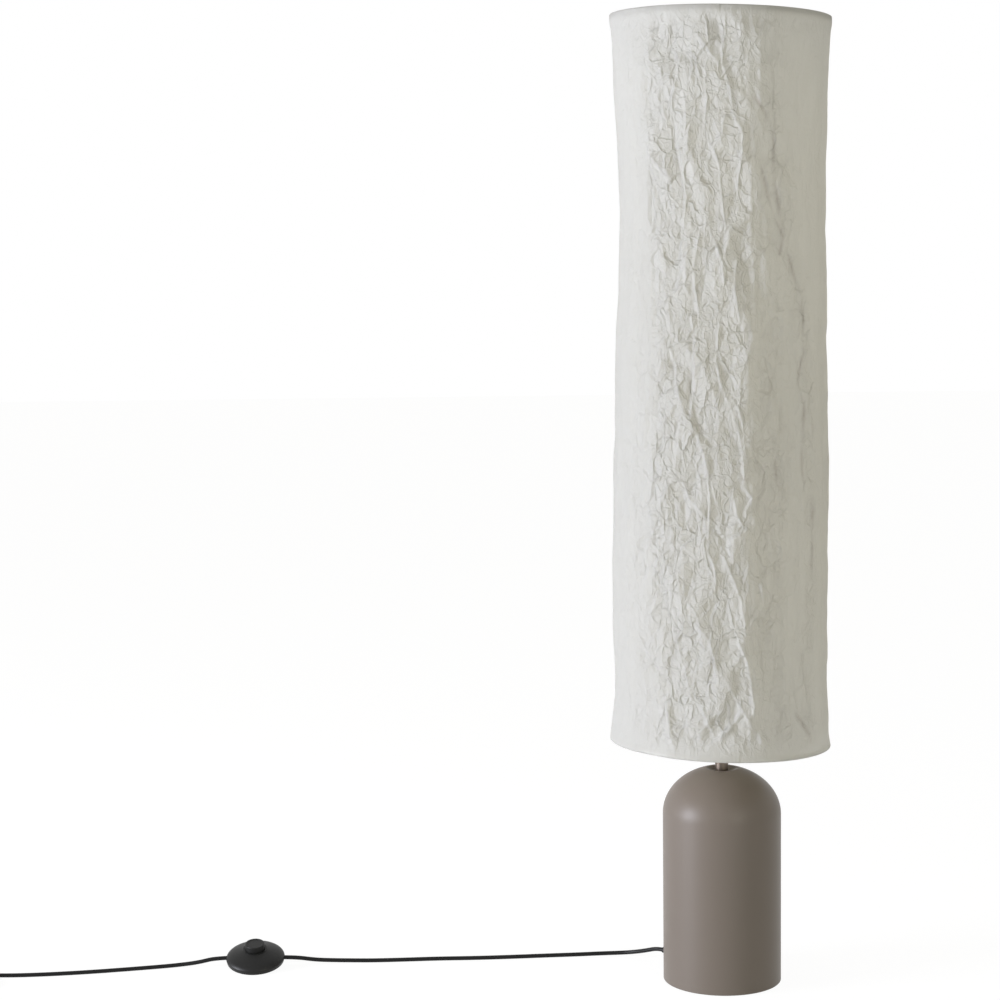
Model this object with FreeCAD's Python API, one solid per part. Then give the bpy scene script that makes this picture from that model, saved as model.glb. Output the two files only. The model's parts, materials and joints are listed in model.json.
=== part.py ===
"""Floor lamp: a domed steel base, a slim stem and a tall crumpled-paper shade, with a round foot switch on its flex.

Millimetres, +Z up. The origin is the middle of the base on the floor. -Y faces the viewer, and the flex runs to -X.
Every piece is one function that returns its solid or solids. Its own sizes stand just above it, and what it seats
on or passes through is worked out from the sizes of that piece.
"""

import FreeCAD
import Part
import math
import os

Vec = FreeCAD.Vector
UP = Vec(0, 0, 1)
TURN = 360.0
overrun = 1.0  # how far a cut runs past the face that it opens

# Driving sizes of the whole lamp
base_radius = 71.9
base_side_height = 207.5  # floor to the line where the dome starts
dome_rise = 58.2
shade_lift = 37.34  # seat of the stem to the lower edge of the shade
shade_height = 868.0
shade_bottom_radius = 133.2
shade_taper = 1.2  # the top rim's radius is this much smaller
pole_radius = 8.0
pole_length = 378.0
flex_radius = 2.6
flex_exit_height = 19.2
flex_exit_angle = 140.0  # degrees from +X, towards the back left
switch_centre = Vec(-581.4, 68.4, 0)
switch_tilt = 14.0  # degrees towards the viewer: the stiff flex holds up the switch's far side
coil_centre = Vec(-944.0, -2.6, 0)

# Clearances that several pieces share
slip = 0.05  # radial gap of a ring or nut on its shaft
hole_gap = 0.2  # radial gap of the threaded rod in the holes that it passes
easy_gap = 0.3  # radial gap where a piece is dropped in


# Helpers for outlines, turned pieces and tubes
def polar(radius, degrees, height=0.0):
    """Point at a radius and an angle round the lamp's axis."""
    return Vec(radius * math.cos(math.radians(degrees)), radius * math.sin(math.radians(degrees)), height)


def in_section(u, v):
    """Places outline coordinates in the X-Z plane: radius along X, height along Z."""
    return Vec(u, 0, v)


def in_plan(u, v):
    """Places outline coordinates in the X-Y plane."""
    return Vec(u, v, 0)


def rounded_wire(corners, place=in_section):
    """Closed wire through corners (u, v, radius); a radius of zero leaves the corner sharp."""
    ends = []
    count = len(corners)
    for i, (u, v, radius) in enumerate(corners):
        here = Vec(u, v, 0)
        before = Vec(*corners[i - 1][:2], 0)
        after = Vec(*corners[(i + 1) % count][:2], 0)
        into = (here - before).normalize()
        out = (after - here).normalize()
        turn = into.getAngle(out)
        if radius == 0 or turn == 0:
            ends.append((here, None, here))
            continue
        reach = radius * math.tan(turn / 2)
        inward = (out - into).normalize()
        middle = here + inward * (radius / math.cos(turn / 2) - radius)
        ends.append((here - into * reach, middle, here + out * reach))
    edges = []
    for i, (start, middle, finish) in enumerate(ends):
        if middle is not None:
            points = [place(p.x, p.y) for p in (start, middle, finish)]
            edges.append(Part.Arc(*points).toShape())
        following = ends[(i + 1) % count][0]
        if finish.distanceToPoint(following) > 0:
            edges.append(Part.LineSegment(place(finish.x, finish.y), place(following.x, following.y)).toShape())
    return Part.Wire(Part.__sortEdges__(edges))


def turned(corners, origin=Vec(0, 0, 0)):
    """Solid of revolution about a vertical axis through origin, from corners (radius, height, rounding)."""
    return spun(rounded_wire(corners), origin)


def spun(wire, origin=Vec(0, 0, 0)):
    """Solid of revolution of a closed wire in the X-Z plane."""
    solid = Part.Face(wire).revolve(Vec(0, 0, 0), UP, TURN)
    if solid.ShapeType != "Solid":
        solid = Part.makeSolid(solid)
    solid.translate(origin)
    return solid


def ring(inner, outer, low, high, origin=Vec(0, 0, 0), rounding=0.0):
    """Flat ring or tube between two radii and two heights."""
    corners = [(inner, low, 0), (outer, low, rounding), (outer, high, rounding), (inner, high, 0)]
    return turned(corners, origin)


def rod(start, finish, radius):
    """Round bar from one point to another."""
    line = finish - start
    return Part.makeCylinder(radius, line.Length, start, line)


def block(low, high):
    """Box between two opposite corners."""
    size = high - low
    return Part.makeBox(size.x, size.y, size.z, low)


def prism(wire, direction):
    """Solid from a closed flat wire pushed along a direction."""
    return Part.Face(wire).extrude(direction)


def around(shape, degrees, origin=Vec(0, 0, 0)):
    """Copy of a shape turned about a vertical axis through origin."""
    copy = shape.copy()
    copy.rotate(origin, UP, degrees)
    return copy


def spaced(shape, count, origin=Vec(0, 0, 0), first=0.0):
    """Copies of a shape spread evenly round a vertical axis."""
    return [around(shape, first + TURN * i / count, origin) for i in range(count)]


def moved(shape, offset):
    """Copy of a shape moved by an offset."""
    copy = shape.copy()
    copy.translate(offset)
    return copy


def hexagon_nut(across_flats, bore_radius, low, high):
    """Hexagon nut on the lamp's axis with a plain bore."""
    corner_radius = across_flats / 2 / math.cos(math.radians(TURN / 12))
    points = [polar(corner_radius, TURN / 6 * i, low) for i in range(7)]
    body = prism(Part.makePolygon(points), Vec(0, 0, high - low))
    return body.cut(ring(0, bore_radius, low - overrun, high + overrun))


def tangent_arc(start, corner, finish):
    """Arc from start to finish that is tangent to the equal legs of a corner."""
    into = corner - start
    out = finish - corner
    half_turn = into.getAngle(out) / 2
    radius = into.Length / math.tan(half_turn)
    inward = (out.normalize() - into.normalize()).normalize()
    return Part.Arc(start, corner + inward * (radius / math.cos(half_turn) - radius), finish).toShape()


arc_share = 0.45  # share of the shorter run that an arc of a route takes at each end


def rounded_route(points):
    """Wire of straight runs joined by tangent arcs, each as large as its two runs allow."""
    edges = []
    start = points[0]
    for i in range(1, len(points) - 1):
        into = points[i] - points[i - 1]
        out = points[i + 1] - points[i]
        reach = arc_share * min(into.Length, out.Length)
        first = points[i] - into.normalize() * reach
        last = points[i] + out.normalize() * reach
        edges.append(line(start, first))
        edges.append(tangent_arc(first, points[i], last))
        start = last
    edges.append(line(start, points[-1]))
    return Part.Wire(edges)


def tube_along(wire, radius):
    """Round solid swept along a wire of tangent edges."""
    first = wire.OrderedEdges[0]
    start = first.valueAt(first.FirstParameter)
    heading = first.tangentAt(first.FirstParameter)
    profile = Part.Wire([Part.Circle(start, heading, radius).toShape()])
    return wire.makePipeShell([profile], True, False)


def flex_tube(name, points):
    """A free stretch of the flex along its route, with its length and volume printed as a check."""
    wire = rounded_route(points)
    solid = tube_along(wire, flex_radius)
    ratio = solid.Volume / (math.pi * flex_radius**2 * wire.Length)
    print(f"{name}: length {wire.Length:.1f}, volume ratio {ratio:.4f}")
    return solid


def quarter_ellipse(half_width, half_height, foot_height):
    """Quarter ellipse in section, from the wall at foot_height up to the axis, as a rational curve."""
    curve = Part.BezierCurve()
    curve.setPoles([
        Vec(half_width, 0, foot_height),
        Vec(half_width, 0, foot_height + half_height),
        Vec(0, 0, foot_height + half_height),
    ])
    curve.setWeight(2, math.sqrt(0.5))
    return curve


def bezier(*poles):
    """Bezier edge through its first and last poles."""
    curve = Part.BezierCurve()
    curve.setPoles(list(poles))
    return curve.toShape()


def line(a, b):
    """Straight edge between two points."""
    return Part.LineSegment(a, b).toShape()


# Base shell: one spun steel dome, rolled in at the foot and dished round the stem
shell_wall = 2.0
rim_clearance = 0.4  # the rim stands this far above the floor; the felt carries the lamp
foot_rounding = 1.2
foot_lip = 3.4
dish_radius = 21.0
dish_depth = 3.5
seat_radius = 10.5
dish_pull_share = 0.42  # how far the dish's curve follows its end tangents
pipe_radius = 5.0  # hollow threaded rod that ties the lamp together
pipe_hole_radius = pipe_radius + hole_gap
bush_hole_radius = 4.6


def dome_height(radius, wall=0.0):
    """Height of the dome's surface at a radius; wall gives the inner surface."""
    share = radius / (base_radius - wall)
    return base_side_height + (dome_rise - wall) * math.sqrt(1 - share * share)


seat_height = dome_height(dish_radius) - dish_depth


def dished_dome(wall):
    """Dome curve and dish curve of one surface of the shell, from the wall to the seat."""
    dome = quarter_ellipse(base_radius - wall, dome_rise - wall, base_side_height)
    edge_point = Vec(dish_radius, 0, dome_height(dish_radius, wall))
    stop = dome.parameter(edge_point)
    slope = dome.tangent(stop)[0]
    pull = dish_pull_share * (dish_radius - seat_radius)
    seat_point = Vec(seat_radius, 0, seat_height - wall)
    dish = bezier(edge_point, edge_point + slope * pull, seat_point + Vec(pull, 0, 0), seat_point)
    return dome.toShape(0, stop), dish


def base_shell():
    outer_dome, outer_dish = dished_dome(0)
    inner_dome, inner_dish = dished_dome(shell_wall)
    inside = base_radius - shell_wall
    low = rim_clearance
    high = rim_clearance + foot_rounding
    middle = base_radius - foot_rounding
    diagonal = foot_rounding * math.sqrt(0.5)
    lip_end = inside - foot_lip
    edges = [
        outer_dome,
        outer_dish,
        line(Vec(seat_radius, 0, seat_height), Vec(pipe_hole_radius, 0, seat_height)),
        line(Vec(pipe_hole_radius, 0, seat_height), Vec(pipe_hole_radius, 0, seat_height - shell_wall)),
        line(Vec(pipe_hole_radius, 0, seat_height - shell_wall), Vec(seat_radius, 0, seat_height - shell_wall)),
        inner_dish,
        inner_dome,
        line(Vec(inside, 0, base_side_height), Vec(inside, 0, low + shell_wall)),
        line(Vec(inside, 0, low + shell_wall), Vec(lip_end, 0, low + shell_wall)),
        line(Vec(lip_end, 0, low + shell_wall), Vec(lip_end, 0, low)),
        line(Vec(lip_end, 0, low), Vec(middle, 0, low)),
        Part.Arc(
            Vec(middle, 0, low),
            Vec(middle + diagonal, 0, high - diagonal),
            Vec(base_radius, 0, high),
        ).toShape(),
        line(Vec(base_radius, 0, high), Vec(base_radius, 0, base_side_height)),
    ]
    shell = spun(Part.Wire(Part.__sortEdges__(edges)))
    hole = rod(
        polar(inside - overrun, flex_exit_angle, flex_exit_height),
        polar(base_radius + overrun, flex_exit_angle, flex_exit_height),
        bush_hole_radius,
    )
    return shell.cut(hole)


# Felt disc under the base
felt_thickness = 2.0
felt_inset = 1.5


def felt_pad():
    return ring(0, ballast_radius - felt_inset, 0, felt_thickness)


# Cast-iron ballast: fills the foot of the shell, hollow below for the nut and the flex
ballast_radius = base_radius - shell_wall - foot_lip - easy_gap
ballast_height = 62.0
ballast_rounding = 2.5
chamber_radius = 25.0
chamber_height = 48.0
channel_width = 11.0
well_inset = 16.2  # ballast's edge to the middle of the shallow ring cast into its top
well_width = 9.0
well_depth = 5.0
clamp_inset = 22.2  # ballast's edge to the middle of the flex clamp
clamp_length = 10.0
clamp_span = 32.0
clamp_flange = 3.0
clamp_screw_spacing = 22.0
clamp_screw_radius = 2.0
clamp_head_radius = 3.8
clamp_head_height = 2.4

ballast_top = felt_thickness + ballast_height
well_radius = ballast_radius - well_inset
clamp_distance = ballast_radius - clamp_inset
chamber_ceiling = felt_thickness + chamber_height
channel_ceiling = flex_exit_height + flex_radius
clamp_low = felt_thickness + clamp_head_height + easy_gap
clamp_screw_length = ballast_height / 3


def ballast():
    corners = [
        (pipe_hole_radius, felt_thickness, 0),
        (ballast_radius, felt_thickness, 0),
        (ballast_radius, ballast_top, ballast_rounding),
        (well_radius + well_width / 2, ballast_top, 0),
        (well_radius + well_width / 2, ballast_top - well_depth, ballast_rounding),
        (well_radius - well_width / 2, ballast_top - well_depth, ballast_rounding),
        (well_radius - well_width / 2, ballast_top, 0),
        (pipe_hole_radius, ballast_top, 0),
    ]
    body = turned(corners)
    body = body.cut(ring(0, chamber_radius, felt_thickness - overrun, chamber_ceiling))
    channel = block(
        Vec(0, -channel_width / 2, felt_thickness - overrun),
        Vec(ballast_radius + overrun, channel_width / 2, channel_ceiling),
    )
    pocket = block(
        Vec(clamp_distance - clamp_length / 2 - easy_gap, -clamp_span / 2 - easy_gap, felt_thickness - overrun),
        Vec(clamp_distance + clamp_length / 2 + easy_gap, clamp_span / 2 + easy_gap, clamp_low + clamp_flange),
    )
    cutters = [channel, pocket]
    for side in (-1, 1):
        foot = Vec(clamp_distance, side * clamp_screw_spacing / 2, clamp_low)
        cutters.append(Part.makeCylinder(clamp_screw_radius + slip, clamp_screw_length + overrun, foot, UP))
    for cutter in cutters:
        body = body.cut(around(cutter, flex_exit_angle))
    return body


def flex_clamp():
    """Plastic saddle in the ballast's channel that presses the flex against the channel's ceiling."""
    flange = block(
        Vec(clamp_distance - clamp_length / 2, -clamp_span / 2, clamp_low),
        Vec(clamp_distance + clamp_length / 2, clamp_span / 2, clamp_low + clamp_flange),
    )
    tongue = block(
        Vec(clamp_distance - clamp_length / 2, easy_gap - channel_width / 2, clamp_low),
        Vec(clamp_distance + clamp_length / 2, channel_width / 2 - easy_gap, flex_exit_height - slip),
    )
    saddle = rod(
        Vec(clamp_distance - clamp_length, 0, flex_exit_height),
        Vec(clamp_distance + clamp_length, 0, flex_exit_height),
        flex_radius + slip,
    )
    body = flange.fuse(tongue).cut(saddle)
    for side in (-1, 1):
        foot = Vec(clamp_distance, side * clamp_screw_spacing / 2, clamp_low - overrun)
        body = body.cut(Part.makeCylinder(clamp_screw_radius + slip, clamp_flange + 2 * overrun, foot, UP))
    return around(body, flex_exit_angle)


def clamp_screws():
    screws = []
    for side in (-1, 1):
        foot = Vec(clamp_distance, side * clamp_screw_spacing / 2, clamp_low)
        shank = Part.makeCylinder(clamp_screw_radius, clamp_screw_length, foot, UP)
        head = Part.makeCylinder(clamp_head_radius, clamp_head_height, foot - UP * clamp_head_height, UP)
        screws.append(around(shank.fuse(head).removeSplitter(), flex_exit_angle))
    return screws


# Ring welded inside the shell; the ballast is pulled up against it
stop_ring_width = 9.0
stop_ring_height = 4.0


def ballast_stop():
    outer = base_radius - shell_wall
    return ring(outer - stop_ring_width, outer, ballast_top, ballast_top + stop_ring_height)


# Tie: hollow threaded rod from the ballast to the lamp holder, with its nuts and washers
pipe_bore_radius = 3.7
nut_across_flats = 14.0
nut_height = 4.0
low_washer_radius = 15.0
low_washer_height = 2.0
dome_washer_radius = 10.5
dome_washer_height = 1.5
pipe_tail = 2.0  # the rod stands this far out of the lower nut
pipe_head = 9.0  # and this far into the lamp holder
low_nut_top = chamber_ceiling - low_washer_height
pipe_bottom = low_nut_top - nut_height - pipe_tail
dome_nut_top = seat_height - shell_wall - dome_washer_height


def tie_rod():
    return ring(pipe_bore_radius, pipe_radius, pipe_bottom, pole_top + pipe_head)


def tie_washers():
    """Washers above the lower nut and above the nut in the dome."""
    low = ring(pipe_radius + slip, low_washer_radius, low_nut_top, chamber_ceiling)
    high = ring(pipe_radius + slip, dome_washer_radius, dome_nut_top, dome_nut_top + dome_washer_height)
    return [low, high]


def tie_nuts():
    """Hexagon nuts: one under the ballast, one under the dome."""
    tops = (low_nut_top, dome_nut_top)
    return [hexagon_nut(nut_across_flats, pipe_radius + slip, top - nut_height, top) for top in tops]


# Stem: a thin seat ring in the dish and the pole that stands on it
stem_ring_radius = 8.8
stem_ring_height = 1.0
pole_wall = 1.2
pole_bush_height = 7.0
pole_foot = seat_height + stem_ring_height
pole_top = pole_foot + pole_length


def stem_ring():
    return ring(pipe_radius + slip, stem_ring_radius, seat_height, pole_foot, rounding=stem_ring_height / 4)


def pole():
    return ring(pole_radius - pole_wall, pole_radius, pole_foot, pole_top)


def pole_bushes():
    inner = pipe_radius + slip
    outer = pole_radius - pole_wall - slip
    lower = ring(inner, outer, pole_foot, pole_foot + pole_bush_height)
    upper = ring(inner, outer, pole_top - pole_bush_height, pole_top)
    return [lower, upper]


# Flex inside the lamp, and the moulded bush where it leaves the shell
flex_bend_radius = 22.0
bush_flange_radius = 6.4
bush_flange_height = 1.4
bush_nose_length = 16.0
bush_nose_foot_radius = 4.9
bush_nose_tip_radius = 3.6
bush_snap_radius = 5.3
bush_snap_height = 1.6
bush_nose_end = base_radius + bush_flange_height + bush_nose_length


def flex_inside():
    """One run: in from the bush along the ballast's channel, round a bend and up the hollow rod."""
    outer_end = Vec(bush_nose_end, 0, flex_exit_height)
    bend_start = Vec(flex_bend_radius, 0, flex_exit_height)
    diagonal = math.sqrt(0.5) * flex_bend_radius
    bend_middle = Vec(flex_bend_radius - diagonal, 0, flex_exit_height + flex_bend_radius - diagonal)
    bend_end = Vec(0, 0, flex_exit_height + flex_bend_radius)
    top = Vec(0, 0, pole_top + pipe_head)
    wire = Part.Wire([
        line(outer_end, bend_start),
        Part.Arc(bend_start, bend_middle, bend_end).toShape(),
        line(bend_end, top),
    ])
    return around(tube_along(wire, flex_radius), flex_exit_angle)


def flex_bush():
    """Moulded bush: snaps into the shell's hole and tapers along the flex."""
    inside = base_radius - shell_wall
    flange_end = base_radius + bush_flange_height
    bore = flex_radius + slip
    corners = [
        (bore, inside - bush_snap_height, 0),
        (bush_snap_radius, inside - bush_snap_height, bush_snap_height / 3),
        (bush_snap_radius, inside, 0),
        (bush_hole_radius - slip, inside, 0),
        (bush_hole_radius - slip, base_radius, 0),
        (bush_flange_radius, base_radius, 0),
        (bush_flange_radius, flange_end, bush_flange_height / 3),
        (bush_nose_foot_radius, flange_end, 0),
        (bush_nose_tip_radius, bush_nose_end, 0),
        (bore, bush_nose_end, 0),
    ]
    body = turned(corners)
    body.rotate(Vec(0, 0, 0), Vec(0, 1, 0), TURN / 4)
    body.translate(UP * flex_exit_height)
    curved_wall = ring(inside, base_radius, 0, base_side_height)
    plug_hole = rod(Vec(0, 0, flex_exit_height), Vec(bush_nose_end, 0, flex_exit_height), bush_hole_radius - slip)
    body = body.cut(curved_wall.cut(plug_hole))
    return around(body, flex_exit_angle)


# Lamp holder on the pole: cap, skirt, ceramic insert, screw shell, contact and leads
holder_neck_radius = 9.5
holder_neck_height = 6.0
holder_radius = 19.5
holder_cone_height = 16.0
holder_cap_height = 26.0
holder_floor = 5.0
holder_wall = 2.0
holder_ledge_height = 20.0
holder_ledge_width = 2.5
skirt_height = 36.0
skirt_rib_radius = 0.7
skirt_rib_pitch = 3.4
skirt_rib_count = 6
insert_height = 12.0
screw_shell_radius = 13.25  # inside of the screw shell
screw_shell_wall = 0.45
screw_shell_height = 24.0
contact_radius = 4.0
contact_height = 1.2
lead_radius = 1.1
lead_spacing = 9.0
holder_cap_top = pole_top + holder_cap_height
insert_foot = pole_top + holder_ledge_height
insert_top = insert_foot + insert_height


def holder_cap():
    ledge_radius = holder_radius - holder_wall - holder_ledge_width
    corners = [
        (pipe_radius + slip, pole_top, 0),
        (holder_neck_radius, pole_top, holder_wall / 2),
        (holder_neck_radius, pole_top + holder_neck_height, holder_wall),
        (holder_radius, pole_top + holder_cone_height, holder_wall),
        (holder_radius, holder_cap_top, 0),
        (holder_radius - holder_wall, holder_cap_top, 0),
        (holder_radius - holder_wall, insert_foot, 0),
        (ledge_radius, insert_foot, 0),
        (ledge_radius, pole_top + holder_cone_height + holder_wall / 2, holder_wall / 2),
        (holder_neck_radius - holder_wall, pole_top + holder_neck_height + holder_wall, holder_wall / 2),
        (holder_neck_radius - holder_wall, pole_top + holder_floor, 0),
        (pipe_radius + slip, pole_top + holder_floor, 0),
    ]
    return turned(corners)


def holder_skirt():
    top = holder_cap_top + skirt_height
    body = ring(holder_radius - holder_wall, holder_radius, holder_cap_top, top, rounding=holder_wall / 4)
    for i in range(skirt_rib_count):
        height = top - skirt_rib_pitch * (i + 1)
        rib = Part.makeTorus(holder_radius, skirt_rib_radius, Vec(0, 0, height), UP)
        body = body.fuse(rib)
    bore = ring(0, holder_radius - holder_wall, holder_cap_top - overrun, top + overrun)
    return body.cut(bore)


def holder_insert():
    outer = holder_radius - holder_wall - slip
    body = ring(0, outer, insert_foot, insert_top, rounding=holder_wall / 4)
    for side in (-1, 1):
        foot = Vec(side * lead_spacing / 2, 0, insert_foot - overrun)
        body = body.cut(Part.makeCylinder(lead_radius + slip, insert_height / 2 + overrun, foot, UP))
    return body


def holder_leads():
    """The two cores of the flex, from its end up into the ceramic insert."""
    bottom = pole_top + pipe_head
    top = insert_foot + insert_height / 2
    leads = []
    for side in (-1, 1):
        low = Vec(side * (lead_radius + slip), 0, bottom)
        high = Vec(side * lead_spacing / 2, 0, insert_foot)
        rise = (high.z - low.z) / 3
        points = [low, low + UP * rise, high - UP * rise, Vec(high.x, 0, top)]
        wire = rounded_route(points)
        leads.append(tube_along(wire, lead_radius))
    return leads


def screw_shell():
    outer = screw_shell_radius + screw_shell_wall
    return ring(screw_shell_radius, outer, insert_top, insert_top + screw_shell_height)


def centre_contact():
    return ring(0, contact_radius, insert_top, insert_top + contact_height, rounding=contact_height / 3)


# Bulb: screw cap with its insulator and tip, glass envelope, inner mount and filaments
bulb_cap_clearance = 0.25
bulb_tip_radius = 4.6
bulb_tip_height = 1.2
bulb_insulator_height = 4.0
bulb_cap_height = 23.0
bulb_cap_wall = 0.5
bulb_length = 105.0
bulb_radius = 30.0
bulb_wide_share = 0.66  # height of the widest place, as a share of the bulb's length
glass_wall = 0.9
bulb_mount_radius = 3.6
bulb_mount_height = 30.0
filament_radius = 0.8
filament_length = 34.0
filament_count = 4
filament_circle_radius = 6.5
bulb_foot = insert_top + contact_height
bulb_cap_foot = bulb_foot + bulb_tip_height + bulb_insulator_height
bulb_cap_top = bulb_cap_foot + bulb_cap_height
bulb_cap_radius = screw_shell_radius - bulb_cap_clearance
glass_neck_radius = bulb_cap_radius - bulb_cap_wall - slip


def bulb_tip():
    return ring(0, bulb_tip_radius, bulb_foot, bulb_foot + bulb_tip_height, rounding=bulb_tip_height / 3)


def bulb_insulator():
    corners = [
        (0, bulb_foot + bulb_tip_height, 0),
        (bulb_tip_radius, bulb_foot + bulb_tip_height, 0),
        (bulb_cap_radius, bulb_cap_foot, 0),
        (0, bulb_cap_foot, 0),
    ]
    return turned(corners)


def bulb_cap():
    inner = bulb_cap_radius - bulb_cap_wall
    return ring(inner, bulb_cap_radius, bulb_cap_foot, bulb_cap_top, rounding=bulb_cap_wall / 3)


def glass_edges(inset):
    """Section curve of the glass: out from the neck to the widest place, then a near-round crown to the axis."""
    foot = bulb_cap_foot + bulb_cap_height / 2
    top = bulb_foot + bulb_length - inset
    widest = bulb_foot + bulb_length * bulb_wide_share
    neck = glass_neck_radius - inset
    wide = bulb_radius - inset
    rise = widest - bulb_cap_top
    lower = bezier(
        Vec(neck, 0, bulb_cap_top),
        Vec(neck, 0, bulb_cap_top + rise / 2),
        Vec(wide, 0, widest - rise / 2),
        Vec(wide, 0, widest),
    )
    crown = quarter_ellipse(wide, top - widest, widest).toShape()
    return line(Vec(neck, 0, foot), Vec(neck, 0, bulb_cap_top)), lower, crown


def bulb_glass():
    outer = glass_edges(0)
    inner = glass_edges(glass_wall)
    foot = bulb_cap_foot + bulb_cap_height / 2
    top = bulb_foot + bulb_length
    closing = [
        line(Vec(glass_neck_radius, 0, foot), Vec(glass_neck_radius - glass_wall, 0, foot)),
        line(Vec(0, 0, top), Vec(0, 0, top - glass_wall)),
    ]
    return spun(Part.Wire(Part.__sortEdges__([*outer, *inner, *closing])))


def bulb_mount():
    """Pressed glass mount that holds the filaments, standing on the cap's insulator."""
    top = bulb_cap_top + bulb_mount_height
    corners = [
        (0, bulb_cap_foot, 0),
        (glass_neck_radius - glass_wall - bulb_cap_clearance, bulb_cap_foot, 0),
        (glass_neck_radius - glass_wall - bulb_cap_clearance, bulb_cap_top, bulb_mount_radius),
        (bulb_mount_radius, bulb_cap_top + bulb_mount_radius, bulb_mount_radius / 2),
        (bulb_mount_radius, top, bulb_mount_radius / 2),
        (0, top, 0),
    ]
    return turned(corners)


def bulb_filaments():
    """Thin rods round the mount, each on a short wire at its foot and head."""
    foot = bulb_cap_top + 2 * bulb_mount_radius
    bar = rod(Vec(filament_circle_radius, 0, foot), Vec(filament_circle_radius, 0, foot + filament_length), filament_radius)
    low_wire = rod(
        Vec(bulb_mount_radius, 0, foot + filament_radius),
        Vec(filament_circle_radius, 0, foot + filament_radius),
        filament_radius / 2,
    )
    return spaced(bar.fuse(low_wire), filament_count)


# Shade frame: two wire rings with three arms each, three upright rods, the hub and its collars
wire_radius = 2.0
hem_margin = 0.6  # the paper's edge stands this far past the ring
paper_wall = 0.8
paper_gap = 0.2  # between the paper and its rings
arm_count = 3
first_arm_angle = 90.0
upright_radius = 1.6
upright_inset = 18.2  # from the shade's lower edge in to the middle of each upright
hub_radius = 19.0
hub_height = 2.5
arm_overlap = 5.0  # length of arm under the hub
collar_radius = 12.5
collar_height = 10.0
crown_ring_radius = 20.0
grub_radius = 2.0
thumb_head_radius = 4.6
thumb_head_height = 6.5
thumb_neck = 2.0
shade_base_height = seat_height + shade_lift
shade_top_height = shade_base_height + shade_height
shade_top_radius = shade_bottom_radius - shade_taper
upright_circle_radius = shade_bottom_radius - upright_inset
low_ring_height = shade_base_height + hem_margin + wire_radius
top_ring_height = shade_top_height - hem_margin - wire_radius
low_ring_radius = shade_bottom_radius - paper_wall - paper_gap - wire_radius
top_ring_radius = shade_top_radius - paper_wall - paper_gap - wire_radius
low_arm_height = low_ring_height + 2 * wire_radius
top_arm_height = top_ring_height - 2 * wire_radius
hub_foot = low_arm_height + wire_radius
hub_top = hub_foot + hub_height


def low_ring():
    return Part.makeTorus(low_ring_radius, wire_radius, Vec(0, 0, low_ring_height), UP)


def top_ring():
    return Part.makeTorus(top_ring_radius, wire_radius, Vec(0, 0, top_ring_height), UP)


def low_arms():
    arm = rod(Vec(hub_radius - arm_overlap, 0, low_arm_height), Vec(low_ring_radius, 0, low_arm_height), wire_radius)
    return spaced(arm, arm_count, first=first_arm_angle)


def top_arms():
    """Three arms and the small ring, welded on top of them, where they meet."""
    arm = rod(Vec(crown_ring_radius, 0, top_arm_height), Vec(top_ring_radius, 0, top_arm_height), wire_radius)
    crown = Part.makeTorus(crown_ring_radius + wire_radius, wire_radius, Vec(0, 0, top_ring_height), UP)
    return [crown, *spaced(arm, arm_count, first=first_arm_angle)]


def uprights():
    low = low_arm_height + wire_radius
    high = top_arm_height - wire_radius
    bar = rod(Vec(upright_circle_radius, 0, low), Vec(upright_circle_radius, 0, high), upright_radius)
    return spaced(bar, arm_count, first=first_arm_angle)


def shade_hub():
    return ring(pole_radius + easy_gap, hub_radius, hub_foot, hub_top, rounding=hub_height / 5)


def collar(low, high):
    """Collar on the pole with a tapped side hole that faces the viewer."""
    body = ring(pole_radius + slip, collar_radius, low, high, rounding=wire_radius / 2)
    middle = (low + high) / 2
    hole = rod(Vec(0, 0, middle), Vec(0, -collar_radius - overrun, middle), grub_radius + slip)
    return body.cut(hole)


def support_collar():
    return collar(hub_foot - collar_height, hub_foot)


def lock_collar():
    return collar(hub_top, hub_top + collar_height)


def support_grub():
    middle = hub_foot - collar_height / 2
    return rod(Vec(0, -pole_radius - slip, middle), Vec(0, slip - collar_radius, middle), grub_radius)


def thumb_screw():
    """Screw with a fluted head that locks the upper collar to the pole."""
    middle = hub_top + collar_height / 2
    tip = -pole_radius - slip
    neck = -collar_radius - thumb_neck
    shank = rod(Vec(0, tip, middle), Vec(0, neck, middle), grub_radius)
    head = rod(Vec(0, neck, middle), Vec(0, neck - thumb_head_height, middle), thumb_head_radius)
    flute_count = 12
    for i in range(flute_count):
        angle = math.tau * i / flute_count
        offset = Vec(math.cos(angle), 0, math.sin(angle)) * thumb_head_radius
        start = Vec(0, neck + overrun, middle) + offset
        head = head.cut(rod(start, start - Vec(0, thumb_head_height + 2 * overrun, 0), thumb_head_radius / 8))
    return shank.fuse(head).removeSplitter()


# Paper shade: one tube glued round the two rings; between them the paper draws in to a waist
waist_depth = 8.7
shade_waist_shares = [
    (0.0, 0.0),
    (0.012, 0.0),
    (0.04, 0.20),
    (0.10, 0.40),
    (0.24, 0.30),
    (0.40, 0.40),
    (0.56, 0.72),
    (0.73, 1.0),
    (0.85, 0.76),
    (0.94, 0.36),
    (0.988, 0.0),
    (1.0, 0.0),
]


def shade_radius(height_share, waist_share):
    """Outer radius of the paper at a share of its height."""
    rim = shade_bottom_radius + (shade_top_radius - shade_bottom_radius) * height_share
    return rim - waist_depth * waist_share


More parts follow.
